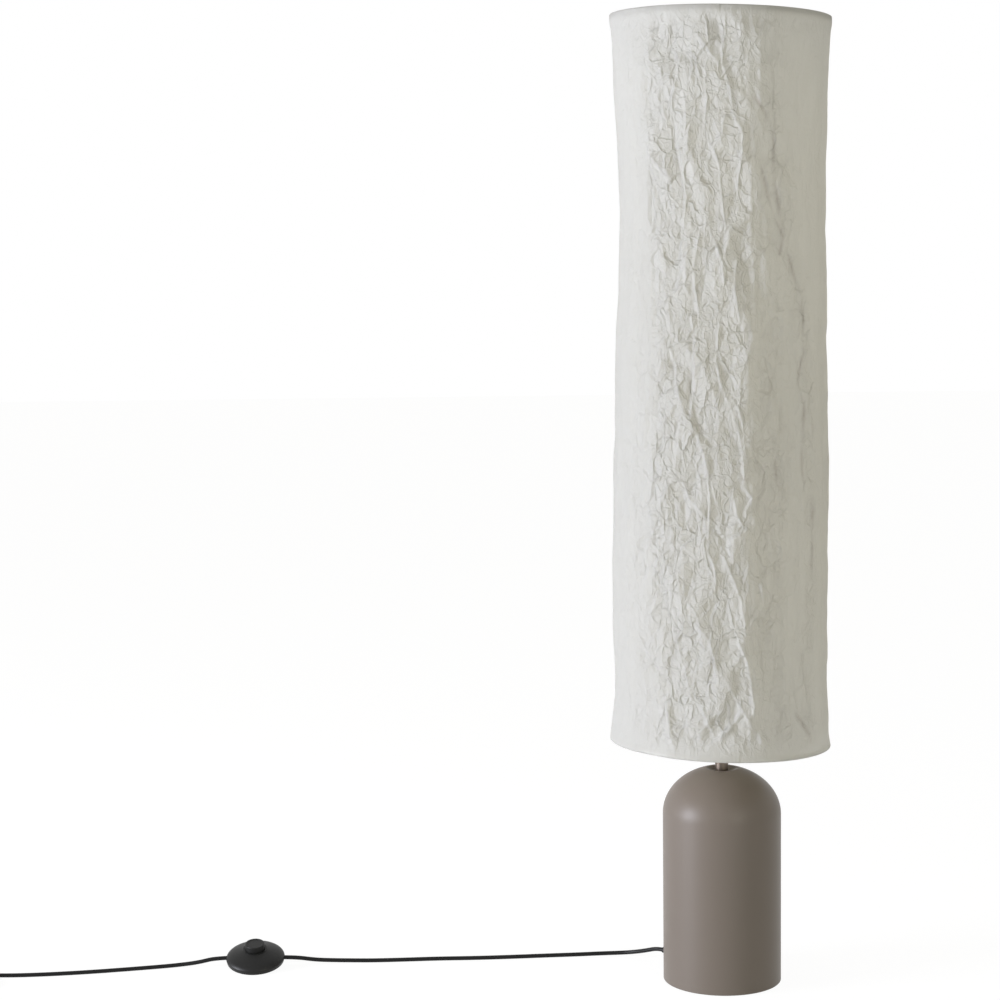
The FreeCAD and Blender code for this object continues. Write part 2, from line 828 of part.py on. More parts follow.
def shade_paper():
    curves = []
    for wall in (0.0, paper_wall):
        points = [
            Vec(shade_radius(up, draw) - wall, 0, shade_base_height + shade_height * up)
            for up, draw in shade_waist_shares
        ]
        curve = Part.BSplineCurve()
        curve.interpolate(points)
        curves.append((curve.toShape(), points[0], points[-1]))
    (outer, outer_low, outer_high), (inner, inner_low, inner_high) = curves
    edges = [outer, line(outer_high, inner_high), inner, line(inner_low, outer_low)]
    return spun(Part.Wire(Part.__sortEdges__(edges)))


# Foot switch: base plate on rubber feet, domed cover, button, spring, ratchet rotor, contacts and clamps
switch_radius = 36.7
switch_wall = 2.0
switch_foot_height = 1.7
switch_foot_radius = 3.5
switch_foot_circle_radius = 24.0
switch_foot_count = 4
switch_plate_height = 1.7
switch_plate_inset = 2.6
switch_rim_low = 2.4
switch_rim_high = 6.2
switch_rim_taper = 0.9
switch_collar_radius = 15.0
switch_collar_height = 18.4
switch_collar_lip = 0.8
button_radius = 12.6
button_top_radius = 12.2
button_gap = 0.35
button_height = 26.4  # floor to the top of the button
button_rounding = 1.0
button_dish_depth = 0.5
button_dish_radius = 9.6
button_flange_radius = 14.1
button_flange_height = 1.6
button_travel = 4.0
button_wall = 2.0
plunger_radius = 3.4
spindle_radius = 1.9
spindle_gap = 0.08
rotor_radius = 7.2
rotor_height = 3.4
rotor_tooth_height = 1.2
rotor_tooth_count = 8
tooth_fill_share = 0.85
rotor_lift = 0.2
spring_radius = 9.0  # to the middle of the wire
spring_wire_radius = 0.45
spring_turns = 5
plate_top = switch_foot_height + switch_plate_height
plate_radius = switch_radius - switch_plate_inset
switch_entry_height = plate_top + flex_radius + slip
cover_underside = switch_collar_height - switch_wall
flange_top = cover_underside - easy_gap
flange_foot = flange_top - button_flange_height
button_ceiling = button_height - button_dish_depth - button_wall
rotor_foot = plate_top + rotor_lift
rotor_top = rotor_foot + rotor_height
plunger_foot = rotor_top + rotor_tooth_height + button_travel + easy_gap
boss_radius = 3.2
boss_circle_radius = 24.0
boss_angles = (45.0, 135.0, 225.0, 315.0)
cover_screw_radius = 1.2
cover_screw_head_radius = 2.4
cover_screw_head_height = 1.0


# height of the switch's own floor point: its lowest edge, of a foot, the plate or the cover, rests on the floor
tilt_sine = math.sin(math.radians(switch_tilt))
tilt_cosine = math.cos(math.radians(switch_tilt))
switch_lift = max(
    (switch_foot_circle_radius + switch_foot_radius) * tilt_sine,
    plate_radius * tilt_sine - switch_foot_height * tilt_cosine,
    (switch_radius - switch_rim_taper) * tilt_sine - switch_rim_low * tilt_cosine,
)


def at_switch(*shapes):
    """Shapes made upright about the origin, tilted and moved to the switch's place."""
    placed = []
    for shape in shapes:
        copy = shape.copy()
        copy.rotate(Vec(0, 0, 0), Vec(1, 0, 0), switch_tilt)
        copy.translate(switch_centre + UP * switch_lift)
        placed.append(copy)
    return placed


def switch_cover_section(inset):
    """Section of the cover's outer or inner surface, from the rim to the hole of the button."""
    radius = switch_radius - inset
    rim = switch_rim_high
    collar = Vec(switch_collar_radius, 0, switch_collar_height - inset)
    reach = (radius - switch_collar_radius) / 3
    pull = (collar.z - rim) / 2
    return bezier(
        Vec(radius, 0, rim),
        Vec(radius, 0, rim + pull),
        collar + Vec(reach, 0, -pull / 2),
        collar,
    )


def switch_cover():
    hole = button_radius + button_gap
    top = switch_collar_height + switch_collar_lip
    low_outer = Vec(switch_radius - switch_rim_taper, 0, switch_rim_low)
    low_inner = Vec(switch_radius - switch_rim_taper - switch_wall / 2, 0, switch_rim_low)
    rim_outer = Vec(switch_radius, 0, switch_rim_high)
    rim_inner = Vec(switch_radius - switch_wall, 0, switch_rim_high)
    collar_outer = Vec(switch_collar_radius, 0, switch_collar_height)
    collar_inner = Vec(switch_collar_radius, 0, cover_underside)
    lip_outer = Vec(switch_collar_radius, 0, top)
    lip_inner = Vec(hole, 0, top)
    hole_low = Vec(hole, 0, cover_underside)
    edges = [
        line(low_outer, rim_outer),
        switch_cover_section(0),
        line(collar_outer, lip_outer),
        line(lip_outer, lip_inner),
        line(lip_inner, hole_low),
        line(hole_low, collar_inner),
        switch_cover_section(switch_wall),
        line(rim_inner, low_inner),
        line(low_inner, low_outer),
    ]
    body = spun(Part.Wire(Part.__sortEdges__(edges)))
    body = body.cut(rod(
        Vec(-switch_radius - overrun, 0, switch_entry_height),
        Vec(switch_radius + overrun, 0, switch_entry_height),
        flex_radius + slip,
    ))
    for angle in boss_angles:
        post = Part.makeCylinder(boss_radius, switch_collar_height, polar(boss_circle_radius, angle, plate_top), UP)
        inside = spun(Part.Wire(Part.__sortEdges__([
            switch_cover_section(switch_wall / 2),
            line(Vec(switch_radius - switch_wall / 2, 0, switch_rim_high), Vec(switch_radius - switch_wall / 2, 0, 0)),
            line(Vec(switch_radius - switch_wall / 2, 0, 0), Vec(0, 0, 0)),
            line(Vec(0, 0, 0), Vec(0, 0, switch_collar_height - switch_wall / 2)),
            line(Vec(0, 0, switch_collar_height - switch_wall / 2), collar_outer - UP * (switch_wall / 2)),
        ])))
        post = post.common(inside)
        pilot = Part.makeCylinder(
            cover_screw_radius + slip, boss_radius * 2, polar(boss_circle_radius, angle, plate_top - overrun), UP
        )
        body = body.fuse(post).cut(pilot)
    return at_switch(body)[0]


def switch_plate():
    body = ring(0, plate_radius, switch_foot_height, plate_top, rounding=switch_plate_height / 4)
    spindle = ring(0, spindle_radius, plate_top - overrun / 2, rotor_top + rotor_tooth_height / 2)
    body = body.fuse(spindle)
    for angle in boss_angles:
        foot = polar(boss_circle_radius, angle, switch_foot_height - overrun)
        body = body.cut(Part.makeCylinder(cover_screw_radius + slip, switch_plate_height + 2 * overrun, foot, UP))
        body = body.cut(Part.makeCylinder(
            cover_screw_head_radius + slip, cover_screw_head_height + overrun, foot, UP
        ))
    for support in entry_supports():
        body = body.fuse(support)
    return at_switch(body.removeSplitter())[0]


clamp_block_length = 6.0
clamp_block_width = 9.0
clamp_block_place = 26.0  # from the switch's middle to the middle of a flex clamp
clamp_bar_height = 2.2
bar_screw_radius = 1.1
bar_screw_spacing = 13.0
bar_length = 18.0


def entry_supports():
    """Cradles on the plate that the flex lies in, one at each entry."""
    cradles = []
    for side in (-1, 1):
        low = Vec(side * clamp_block_place - clamp_block_length / 2, -bar_length / 2, plate_top - overrun / 2)
        high = Vec(side * clamp_block_place + clamp_block_length / 2, bar_length / 2, switch_entry_height)
        cradle = block(low, high)
        groove = rod(Vec(low.x - overrun, 0, switch_entry_height), Vec(high.x + overrun, 0, switch_entry_height),
                     flex_radius + slip)
        cradle = cradle.cut(groove)
        for across in (-1, 1):
            foot = Vec(side * clamp_block_place, across * bar_screw_spacing / 2, plate_top)
            cradle = cradle.cut(Part.makeCylinder(bar_screw_radius + slip, switch_entry_height, foot, UP))
        cradles.append(cradle)
    return cradles


def switch_clamps():
    """Bars screwed over the flex at each entry."""
    bars = []
    for side in (-1, 1):
        low = Vec(side * clamp_block_place - clamp_block_length / 2, -bar_length / 2, switch_entry_height + slip)
        high = Vec(side * clamp_block_place + clamp_block_length / 2, bar_length / 2,
                   switch_entry_height + flex_radius + clamp_bar_height / 2)
        bar = block(low, high)
        groove = rod(Vec(low.x - overrun, 0, switch_entry_height), Vec(high.x + overrun, 0, switch_entry_height),
                     flex_radius + slip)
        bar = bar.cut(groove)
        for across in (-1, 1):
            foot = Vec(side * clamp_block_place, across * bar_screw_spacing / 2, plate_top)
            bar = bar.cut(Part.makeCylinder(bar_screw_radius + slip, switch_collar_height, foot, UP))
        bars.append(bar)
    return at_switch(*bars)


def switch_clamp_screws():
    screws = []
    bar_top = switch_entry_height + flex_radius + clamp_bar_height / 2
    head_height = clamp_bar_height / 2
    for side in (-1, 1):
        for across in (-1, 1):
            place = Vec(side * clamp_block_place, across * bar_screw_spacing / 2, 0)
            shank = rod(place + UP * (plate_top + slip), place + UP * bar_top, bar_screw_radius)
            head = rod(place + UP * bar_top, place + UP * (bar_top + head_height), bar_screw_radius * 2)
            screws.append(shank.fuse(head).removeSplitter())
    return at_switch(*screws)


def switch_cover_screws():
    screws = []
    for angle in boss_angles:
        foot = polar(boss_circle_radius, angle, switch_foot_height)
        head_top = foot + UP * cover_screw_head_height
        head = rod(foot, head_top, cover_screw_head_radius)
        shank = rod(head_top, foot + UP * (plate_top + boss_radius), cover_screw_radius)
        screws.append(head.fuse(shank).removeSplitter())
    return at_switch(*screws)


def switch_feet():
    foot = rod(
        polar(switch_foot_circle_radius, 0), polar(switch_foot_circle_radius, 0, switch_foot_height), switch_foot_radius
    )
    return at_switch(*spaced(foot, switch_foot_count))


def switch_button():
    corners = [
        (0, plunger_foot, 0),
        (plunger_radius, plunger_foot, 0),
        (plunger_radius, button_ceiling, button_wall / 4),
        (button_radius - button_wall, button_ceiling, button_wall / 4),
        (button_radius - button_wall, flange_foot, 0),
        (button_flange_radius, flange_foot, 0),
        (button_flange_radius, flange_top, 0),
        (button_radius, flange_top, 0),
        (button_top_radius, button_height, button_rounding),
        (button_dish_radius, button_height, 0),
        (button_dish_radius - button_dish_depth, button_height - button_dish_depth, 0),
        (0, button_height - button_dish_depth, 0),
    ]
    return at_switch(turned(corners))[0]


def switch_rotor():
    """Ratchet wheel on the plate's spindle, with a crown of sloping teeth that the plunger's foot drives."""
    bore = spindle_radius + spindle_gap
    body = ring(bore, rotor_radius, rotor_foot, rotor_top)
    inner = bore + spindle_radius / 2
    outer = rotor_radius - spindle_radius / 4
    half_width = inner * math.sin(math.pi / rotor_tooth_count) * tooth_fill_share
    corners = [
        Vec(inner, -half_width, rotor_top),
        Vec(inner, half_width, rotor_top),
        Vec(inner, half_width, rotor_top + rotor_tooth_height),
    ]
    tooth = prism(Part.makePolygon([*corners, corners[0]]), Vec(outer - inner, 0, 0))
    for copy in spaced(tooth, rotor_tooth_count):
        body = body.fuse(copy)
    return at_switch(body)[0]


def switch_spring():
    """Return spring between the plate and the button, round the rotor: half turns of two tangent arcs each."""
    low = plate_top + spring_wire_radius + slip
    high = button_ceiling - spring_wire_radius - slip
    half_turns = 2 * spring_turns
    step = (high - low) / half_turns
    rise = Vec(0, 0, step / (math.pi * spring_radius))
    edges = []
    for i in range(half_turns):
        start, finish = (polar(spring_radius, TURN / 2 * k, low + step * k) for k in (i, i + 1))
        heading, ending = ((polar(1, TURN / 2 * k + TURN / 4) + rise).normalize() for k in (i, i + 1))
        # leg length at which both arcs of the half turn meet with one tangent
        across = finish - start
        along = across.dot(heading + ending)
        spread = 1 - heading.dot(ending)
        leg = (math.sqrt(along * along + 2 * spread * across.dot(across)) - along) / (2 * spread)
        corners = (start + heading * leg, finish - ending * leg)
        meeting = (corners[0] + corners[1]) * 0.5
        edges.append(tangent_arc(start, corners[0], meeting))
        edges.append(tangent_arc(meeting, corners[1], finish))
    return at_switch(tube_along(Part.Wire(edges), spring_wire_radius))[0]


contact_width = 5.0
contact_thickness = 0.8
contact_inner = 12.0
contact_outer = 20.0
contact_wall_height = 6.4
terminal_size = 6.0
terminal_height = 5.0
contact_angles = (65.0, 115.0)


def switch_contacts():
    """Two brass terminal blocks, each with a blade that reaches towards the rotor."""
    pieces = []
    for angle in contact_angles:
        post = block(
            Vec(contact_outer - terminal_size, -terminal_size / 2, plate_top),
            Vec(contact_outer, terminal_size / 2, plate_top + terminal_height),
        )
        blade = block(
            Vec(contact_inner - contact_thickness, -contact_width / 2, plate_top),
            Vec(contact_inner, contact_width / 2, plate_top + contact_wall_height),
        )
        foot = block(
            Vec(contact_inner - contact_thickness, -contact_width / 2, plate_top),
            Vec(contact_outer - terminal_size + contact_thickness, contact_width / 2, plate_top + contact_thickness),
        )
        pieces.append(around(post.fuse(blade).fuse(foot).removeSplitter(), angle))
    return at_switch(*pieces)


def switch_leads():
    """Cores inside the switch: one from each cable to its terminal, and one that joins the two cables."""
    cable_end = clamp_block_place - clamp_block_length / 2
    terminal_middle = contact_outer - terminal_size / 2
    height = plate_top + terminal_height / 2
    leads = []
    for side, angle in zip((1, -1), contact_angles):
        start = Vec(side * cable_end, lead_radius + slip, switch_entry_height)
        out = start - Vec(side * terminal_size, 0, 0)
        turn_in = around(Part.Vertex(Vec(terminal_middle, -side * terminal_size * 1.5, height)), angle).Point
        end = around(Part.Vertex(Vec(terminal_middle, -side * terminal_size / 2, height)), angle).Point
        wire = rounded_route([start, out, turn_in, end])
        leads.append(tube_along(wire, lead_radius))
    far_side = Vec(cable_end, -lead_radius - slip, switch_entry_height)
    bend = far_side - Vec(terminal_size, 0, 0)
    corner = Vec(contact_outer - terminal_size, -contact_outer + terminal_size, switch_entry_height)
    points = [far_side, bend, corner]
    points += [Vec(-p.x, p.y, p.z) for p in reversed(points)]
    wire = rounded_route(points)
    leads.append(tube_along(wire, lead_radius))
    return at_switch(*leads)


# Flex on the floor. The first and last points of a stretch meet the bush, the switch, the coil or the plug.
bush_lead = 9.6  # the flex leaves the bush straight for this length
bush_mouth = polar(bush_nose_end, flex_exit_angle, flex_exit_height)
cable_end = Vec(clamp_block_place - clamp_block_length / 2, 0, 0)
switch_right, switch_left = (
    at_switch(Part.Vertex(cable_end * side + UP * switch_entry_height))[0].Point for side in (1, -1)
)
lamp_route = [
    bush_mouth,
    polar(bush_nose_end + bush_lead, flex_exit_angle, flex_exit_height),
    Vec(-88.6, 74.6, 13.4),
    Vec(-102.8, 87.2, 7.8),
    Vec(-119.0, 96.3, 4.2),
    Vec(-143.0, 100.0, flex_radius),
    Vec(-175.0, 96.3, flex_radius),
    Vec(-212.0, 93.5, flex_radius),
    Vec(-256.0, 89.5, flex_radius),
    Vec(-304.0, 86.2, flex_radius),
    Vec(-352.0, 85.9, flex_radius),
    Vec(-397.0, 82.6, flex_radius),
    Vec(-434.0, 80.9, flex_radius),
    Vec(-460.0, 80.4, 3.2),
    Vec(-484.0, 76.2, 5.0),
    Vec(-507.0, 69.6, 8.0),
    Vec(-531.0, switch_right.y, switch_right.z),
    switch_right,
]


def flex_lamp_side():
    return flex_tube("flex_lamp_side", lamp_route)


# Put-away length of the flex: a flat coil of two layers with its tie
coil_middle_radius = 31.0
coil_turn_gap = 0.5
coil_layer_gap = 0.5
coil_turns_per_layer = 3
tie_thickness = 0.6
tie_width = 9.0
tie_gap = 0.1
tie_side_gap = 0.6
coil_pitch = 2 * flex_radius + coil_turn_gap
coil_rise = 2 * flex_radius + coil_layer_gap
coil_outer_radius = coil_middle_radius + coil_pitch * coil_turns_per_layer / 2
coil_inner_radius = coil_outer_radius - coil_pitch * coil_turns_per_layer
coil_low = flex_radius + tie_thickness + tie_gap
coil_high = coil_low + coil_rise
coil_lead = 2 * flex_radius  # straight ends of the coil, one diameter long
coil_mouth = coil_centre + Vec(coil_lead, coil_outer_radius, coil_low)
coil_tail = coil_centre + Vec(-coil_outer_radius, -coil_lead, coil_high)


def half_turn(start, side, radius):
    """Half-turn arc to the left from the far side (1) or near side (-1) of the coil, and its end."""
    middle = start + Vec(-side * radius, -side * radius, 0)
    finish = start + Vec(0, -side * 2 * radius, 0)
    return Part.Arc(start, middle, finish).toShape(), finish


def climbing_turn(start, side, radius):
    """Half turn that climbs one layer: two quarter arcs in one tilted plane each, and the end."""
    half_rise = coil_rise / 2
    slant = math.sqrt(radius * radius + half_rise * half_rise)
    across = Vec(0, -side * radius, half_rise) * (1 / slant)
    along = Vec(-side, 0, 0)
    diagonal = math.sqrt(0.5)
    centre = start + across * slant
    meeting = centre + along * slant
    finish = start + across * (2 * slant)
    first_middle = centre + (along - across) * (slant * diagonal)
    second_middle = centre + (along + across) * (slant * diagonal)
    arcs = [
        Part.Arc(start, first_middle, meeting).toShape(),
        Part.Arc(meeting, second_middle, finish).toShape(),
    ]
    return arcs, finish


def coil_edges():
    """Half turns that spiral in, climb one layer in the innermost half turn, and spiral out again."""
    half_step = coil_pitch / 2
    inward = [coil_outer_radius - half_step * i for i in range(2 * coil_turns_per_layer)]
    outward = inward[:0:-1]
    point = coil_mouth - Vec(coil_lead, 0, 0)
    edges = [line(coil_mouth, point)]
    side = 1
    for radius in inward:
        arc, point = half_turn(point, side, radius)
        edges.append(arc)
        side = -side
    arcs, point = climbing_turn(point, side, coil_inner_radius)
    edges += arcs
    side = -side
    for radius in outward:
        arc, point = half_turn(point, side, radius)
        edges.append(arc)
        side = -side
    diagonal = math.sqrt(0.5) * coil_outer_radius
    middle = point + Vec(-diagonal, diagonal - coil_outer_radius, 0)
    finish = point + Vec(-coil_outer_radius, -coil_outer_radius, 0)
    edges.append(Part.Arc(point, middle, finish).toShape())
    edges.append(line(finish, coil_tail))
    return edges


def least_gap(wire, spacing):
    """Least clear distance between stretches of a tube that are not neighbours along it."""
    points = wire.discretize(Distance=spacing)
    reach = 3 * flex_radius
    skip = int(math.pi * coil_inner_radius / spacing)
    least = math.inf
    for i, here in enumerate(points):
        for there in points[i + skip:]:
            if abs(there.x - here.x) < reach and abs(there.y - here.y) < reach:
                least = min(least, here.distanceToPoint(there))
    return least - 2 * flex_radius


def flex_coil():
    wire = Part.Wire(coil_edges())
    solid = tube_along(wire, flex_radius)
    ratio = solid.Volume / (math.pi * flex_radius**2 * wire.Length)
    gap = least_gap(wire, flex_radius / 3)
    print(f"flex_coil: length {wire.Length:.1f}, volume ratio {ratio:.4f}, least gap {gap:.2f}")
    return solid


def coil_tie():
    """Flat strap round all turns at the coil's near side."""
    inner = coil_inner_radius - flex_radius - tie_side_gap
    outer = coil_outer_radius + flex_radius + tie_side_gap
    high = coil_high + flex_radius + tie_gap
    strap = block(
        Vec(-tie_width / 2, -outer - tie_thickness, 0),
        Vec(tie_width / 2, tie_thickness - inner, high + tie_thickness),
    )
    hollow = block(
        Vec(-tie_width / 2 - overrun, -outer, tie_thickness),
        Vec(tie_width / 2 + overrun, -inner, high),
    )
    return moved(strap.cut(hollow), coil_centre)


plug_route = [
    switch_left,
    Vec(-631.0, switch_left.y, switch_left.z),
    Vec(-652.0, 66.6, 7.4),
    Vec(-673.0, 68.4, 4.1),
    Vec(-697.0, 66.2, flex_radius),
    Vec(-738.0, 56.6, flex_radius),
    Vec(-786.0, 46.4, flex_radius),
    Vec(-838.0, 38.6, flex_radius),
    Vec(-886.0, 35.4, flex_radius),
    Vec(-918.0, coil_mouth.y, coil_mouth.z),
    coil_mouth,
]


def flex_plug_side():
    return flex_tube("flex_plug_side", plug_route)


# Flat two-pin plug in front of the coil, pins towards the viewer, and the last short stretch of flex into it
plug_width = 35.0
plug_height = 13.6
plug_face_length = 10.0
plug_length = 36.0
plug_neck_width = 12.0
plug_neck_height = 11.0
plug_corner_radius = 3.0
plug_edge_radius = 1.6
relief_length = 24.0
relief_root_radius = 4.8
relief_tip_radius = 3.5
relief_slot_count = 4
relief_slot_pitch = 4.4
relief_slot_depth = 0.8
relief_slot_width = 1.6
pin_radius = 2.0
pin_length = 19.0
pin_spacing = 18.6
pin_root = 8.0  # length of a pin inside the moulding
sleeve_length = 10.0
sleeve_wall = 0.35
tail_drop = 40.0  # distance from the coil to the plug's relief along the floor
tail_drift = 3.0
plug_middle = plug_height / 2
tail_end = Vec(coil_tail.x - tail_drift, coil_tail.y - tail_drop, plug_middle)
tail_route = [
    coil_tail,
    coil_tail - Vec(0, tail_drop / 3, 0),
    tail_end + Vec(0, tail_drop / 3, 0),
    tail_end,
]


def at_plug(shape):
    """Shape made along +X from the relief's mouth, turned towards the viewer and moved to the flex's end."""
    return moved(around(shape, -TURN / 4), tail_end)


def flex_tail():
    return flex_tube("flex_tail", tail_route)


def plug_relief():
    bore = flex_radius + slip
    corners = [
        (bore, 0, 0),
        (relief_tip_radius, 0, 0),
        (relief_root_radius, relief_length, 0),
        (bore, relief_length, 0),
    ]
    body = turned(corners)
    for i in range(relief_slot_count):
        low = relief_slot_pitch * (i + 1)
        slot = ring(relief_tip_radius - relief_slot_depth / 2 + relief_slot_depth * low / relief_length,
                    relief_root_radius + overrun, low, low + relief_slot_width)
        bridge = block(
            Vec(-relief_root_radius - overrun, -relief_slot_width / 2, low),
            Vec(relief_root_radius + overrun, relief_slot_width / 2, low + relief_slot_width),
        )
        body = body.cut(slot.cut(around(bridge, TURN / 4 * (i % 2))))
    body.rotate(Vec(0, 0, 0), Vec(0, 1, 0), TURN / 4)
    return at_plug(body)


def flex_end():
    """Flex inside the relief, up to the moulded body of the plug."""
    return at_plug(rod(Vec(0, 0, 0), Vec(relief_length, 0, 0), flex_radius))


def plug_body():
    back = relief_length
    face = relief_length + plug_length
    shoulder = face - plug_face_length
    half = plug_width / 2
    neck = plug_neck_width / 2
    corner = plug_corner_radius
    plan = rounded_wire([
        (back, -neck, corner / 2),
        (shoulder, -half, corner),
        (face, -half, corner / 2),
        (face, half, corner / 2),
        (shoulder, half, corner),
        (back, neck, corner / 2),
    ], in_plan)
    body = prism(plan, UP * plug_height)
    body.translate(UP * (-plug_middle))
    low = plug_neck_height / 2
    side = rounded_wire([
        (back - overrun, -low, 0),
        (shoulder, -plug_middle, corner),
        (face + overrun, -plug_middle, 0),
        (face + overrun, plug_middle, 0),
        (shoulder, plug_middle, corner),
        (back - overrun, low, 0),
    ])
    slab = prism(side, Vec(0, plug_width + 2 * overrun, 0))
    slab.translate(Vec(0, -half - overrun, 0))
    body = body.common(slab)
    for across in (-1, 1):
        hole = rod(
            Vec(face - pin_root, across * pin_spacing / 2, 0),
            Vec(face + overrun, across * pin_spacing / 2, 0),
            pin_radius + slip,
        )
        body = body.cut(hole)
    return at_plug(body)


def plug_pins():
    """Round pins, thinner where their sleeves sit, with domed ends."""
    face = relief_length + plug_length
    waist = pin_radius - sleeve_wall
    corners = [
        (0, -pin_root, 0),
        (pin_radius, -pin_root, 0),
        (pin_radius, 0, 0),
        (waist, 0, 0),
        (waist, sleeve_length, 0),
        (pin_radius, sleeve_length, 0),
        (pin_radius, pin_length, pin_radius / 2),
        (0, pin_length, 0),
    ]
    pin = turned(corners)
    pin.rotate(Vec(0, 0, 0), Vec(0, 1, 0), TURN / 4)
    return [at_plug(moved(pin, Vec(face, across * pin_spacing / 2, 0))) for across in (-1, 1)]


def pin_sleeves():
    face = relief_length + plug_length
    sleeve = ring(pin_radius - sleeve_wall, pin_radius, 0, sleeve_length)
    sleeve.rotate(Vec(0, 0, 0), Vec(0, 1, 0), TURN / 4)
    return [at_plug(moved(sleeve, Vec(face, across * pin_spacing / 2, 0))) for across in (-1, 1)]


# Every piece under the name of its file
pieces = {
    "felt_pad": felt_pad,
    "base_shell": base_shell,
    "ballast": ballast,
    "ballast_stop": ballast_stop,
    "flex_clamp": flex_clamp,
    "clamp_screws": clamp_screws,
    "tie_washers": tie_washers,
    "tie_nuts": tie_nuts,
    "tie_rod": tie_rod,
    "stem_ring": stem_ring,
    "pole": pole,
    "pole_bushes": pole_bushes,
    "flex_bush": flex_bush,
    "flex_inside": flex_inside,
    "holder_cap": holder_cap,
    "holder_skirt": holder_skirt,
    "holder_insert": holder_insert,
    "holder_leads": holder_leads,
    "screw_shell": screw_shell,
    "centre_contact": centre_contact,
    "bulb_tip": bulb_tip,
    "bulb_insulator": bulb_insulator,
    "bulb_cap": bulb_cap,
    "bulb_glass": bulb_glass,
    "bulb_mount": bulb_mount,
    "bulb_filaments": bulb_filaments,
    "low_ring": low_ring,
    "top_ring": top_ring,
    "low_arms": low_arms,
    "top_arms": top_arms,
    "uprights": uprights,
    "shade_hub": shade_hub,
    "support_collar": support_collar,
    "support_grub": support_grub,
    "lock_collar": lock_collar,
    "thumb_screw": thumb_screw,
    "shade_paper": shade_paper,
    "switch_feet": switch_feet,
    "switch_plate": switch_plate,
    "switch_cover": switch_cover,
    "switch_cover_screws": switch_cover_screws,
    "switch_button": switch_button,
    "switch_spring": switch_spring,
    "switch_rotor": switch_rotor,
    "switch_contacts": switch_contacts,
    "switch_leads": switch_leads,
    "switch_clamps": switch_clamps,
    "switch_clamp_screws": switch_clamp_screws,
    "flex_lamp_side": flex_lamp_side,
    "flex_plug_side": flex_plug_side,
    "flex_coil": flex_coil,
    "coil_tie": coil_tie,
    "flex_tail": flex_tail,
    "flex_end": flex_end,
    "plug_relief": plug_relief,
    "plug_body": plug_body,
    "plug_pins": plug_pins,
    "pin_sleeves": pin_sleeves,
}

os.makedirs("parts", exist_ok=True)
for name, make in pieces.items():
    shape = make()
    if isinstance(shape, list):
        shape = Part.makeCompound(shape)
    solids = len(shape.Solids)
    if not shape.isValid() or solids == 0:
        print(f"{name}: not a valid solid")
    print(f"{name}: {solids} solid(s), {shape.Volume / 1000:.2f} cm3")
    shape.exportStep(f"parts/{name}.step")
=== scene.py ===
import bpy
import json
import math
import numpy as np
from mathutils import Matrix, Vector
from mathutils.geometry import delaunay_2d_cdt


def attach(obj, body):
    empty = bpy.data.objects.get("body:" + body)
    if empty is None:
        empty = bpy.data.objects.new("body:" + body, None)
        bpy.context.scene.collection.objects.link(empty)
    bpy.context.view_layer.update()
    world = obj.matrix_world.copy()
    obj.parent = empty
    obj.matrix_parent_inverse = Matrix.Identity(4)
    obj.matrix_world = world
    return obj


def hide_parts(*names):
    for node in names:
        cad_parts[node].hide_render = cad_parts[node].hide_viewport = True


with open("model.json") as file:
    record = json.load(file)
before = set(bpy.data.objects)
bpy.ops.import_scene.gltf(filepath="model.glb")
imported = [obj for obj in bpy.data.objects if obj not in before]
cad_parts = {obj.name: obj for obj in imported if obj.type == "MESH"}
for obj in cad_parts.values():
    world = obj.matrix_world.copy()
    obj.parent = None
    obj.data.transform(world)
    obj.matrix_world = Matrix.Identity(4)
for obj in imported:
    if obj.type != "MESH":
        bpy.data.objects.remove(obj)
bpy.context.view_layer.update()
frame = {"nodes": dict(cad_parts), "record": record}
nodes = frame["nodes"]
mm = 0.001


# shader maths: a socket that takes plus, minus and times, and a graph with one method for any other node
class Socket:
    def __init__(self, graph, link):
        self.graph = graph
        self.link = link

    def maths(self, operation, first, second, clamp=False):
        return self.graph.add("Math", {"operation": operation, "use_clamp": clamp}, first, second)

    def __add__(self, other):
        return self.maths("ADD", self, other)

    def __radd__(self, other):
        return self.maths("ADD", other, self)

    def __sub__(self, other):
        return self.maths("SUBTRACT", self, other)

    def __rsub__(self, other):
        return self.maths("SUBTRACT", other, self)

    def __mul__(self, other):
        return self.maths("MULTIPLY", self, other)

    def __rmul__(self, other):
        return self.maths("MULTIPLY", other, self)

    def clip(self):
        return self.maths("ADD", self, 0.0, clamp=True)

    def beside(self, output):
        # another output of the same node
        return Socket(self.graph, self.link.node.outputs[output])


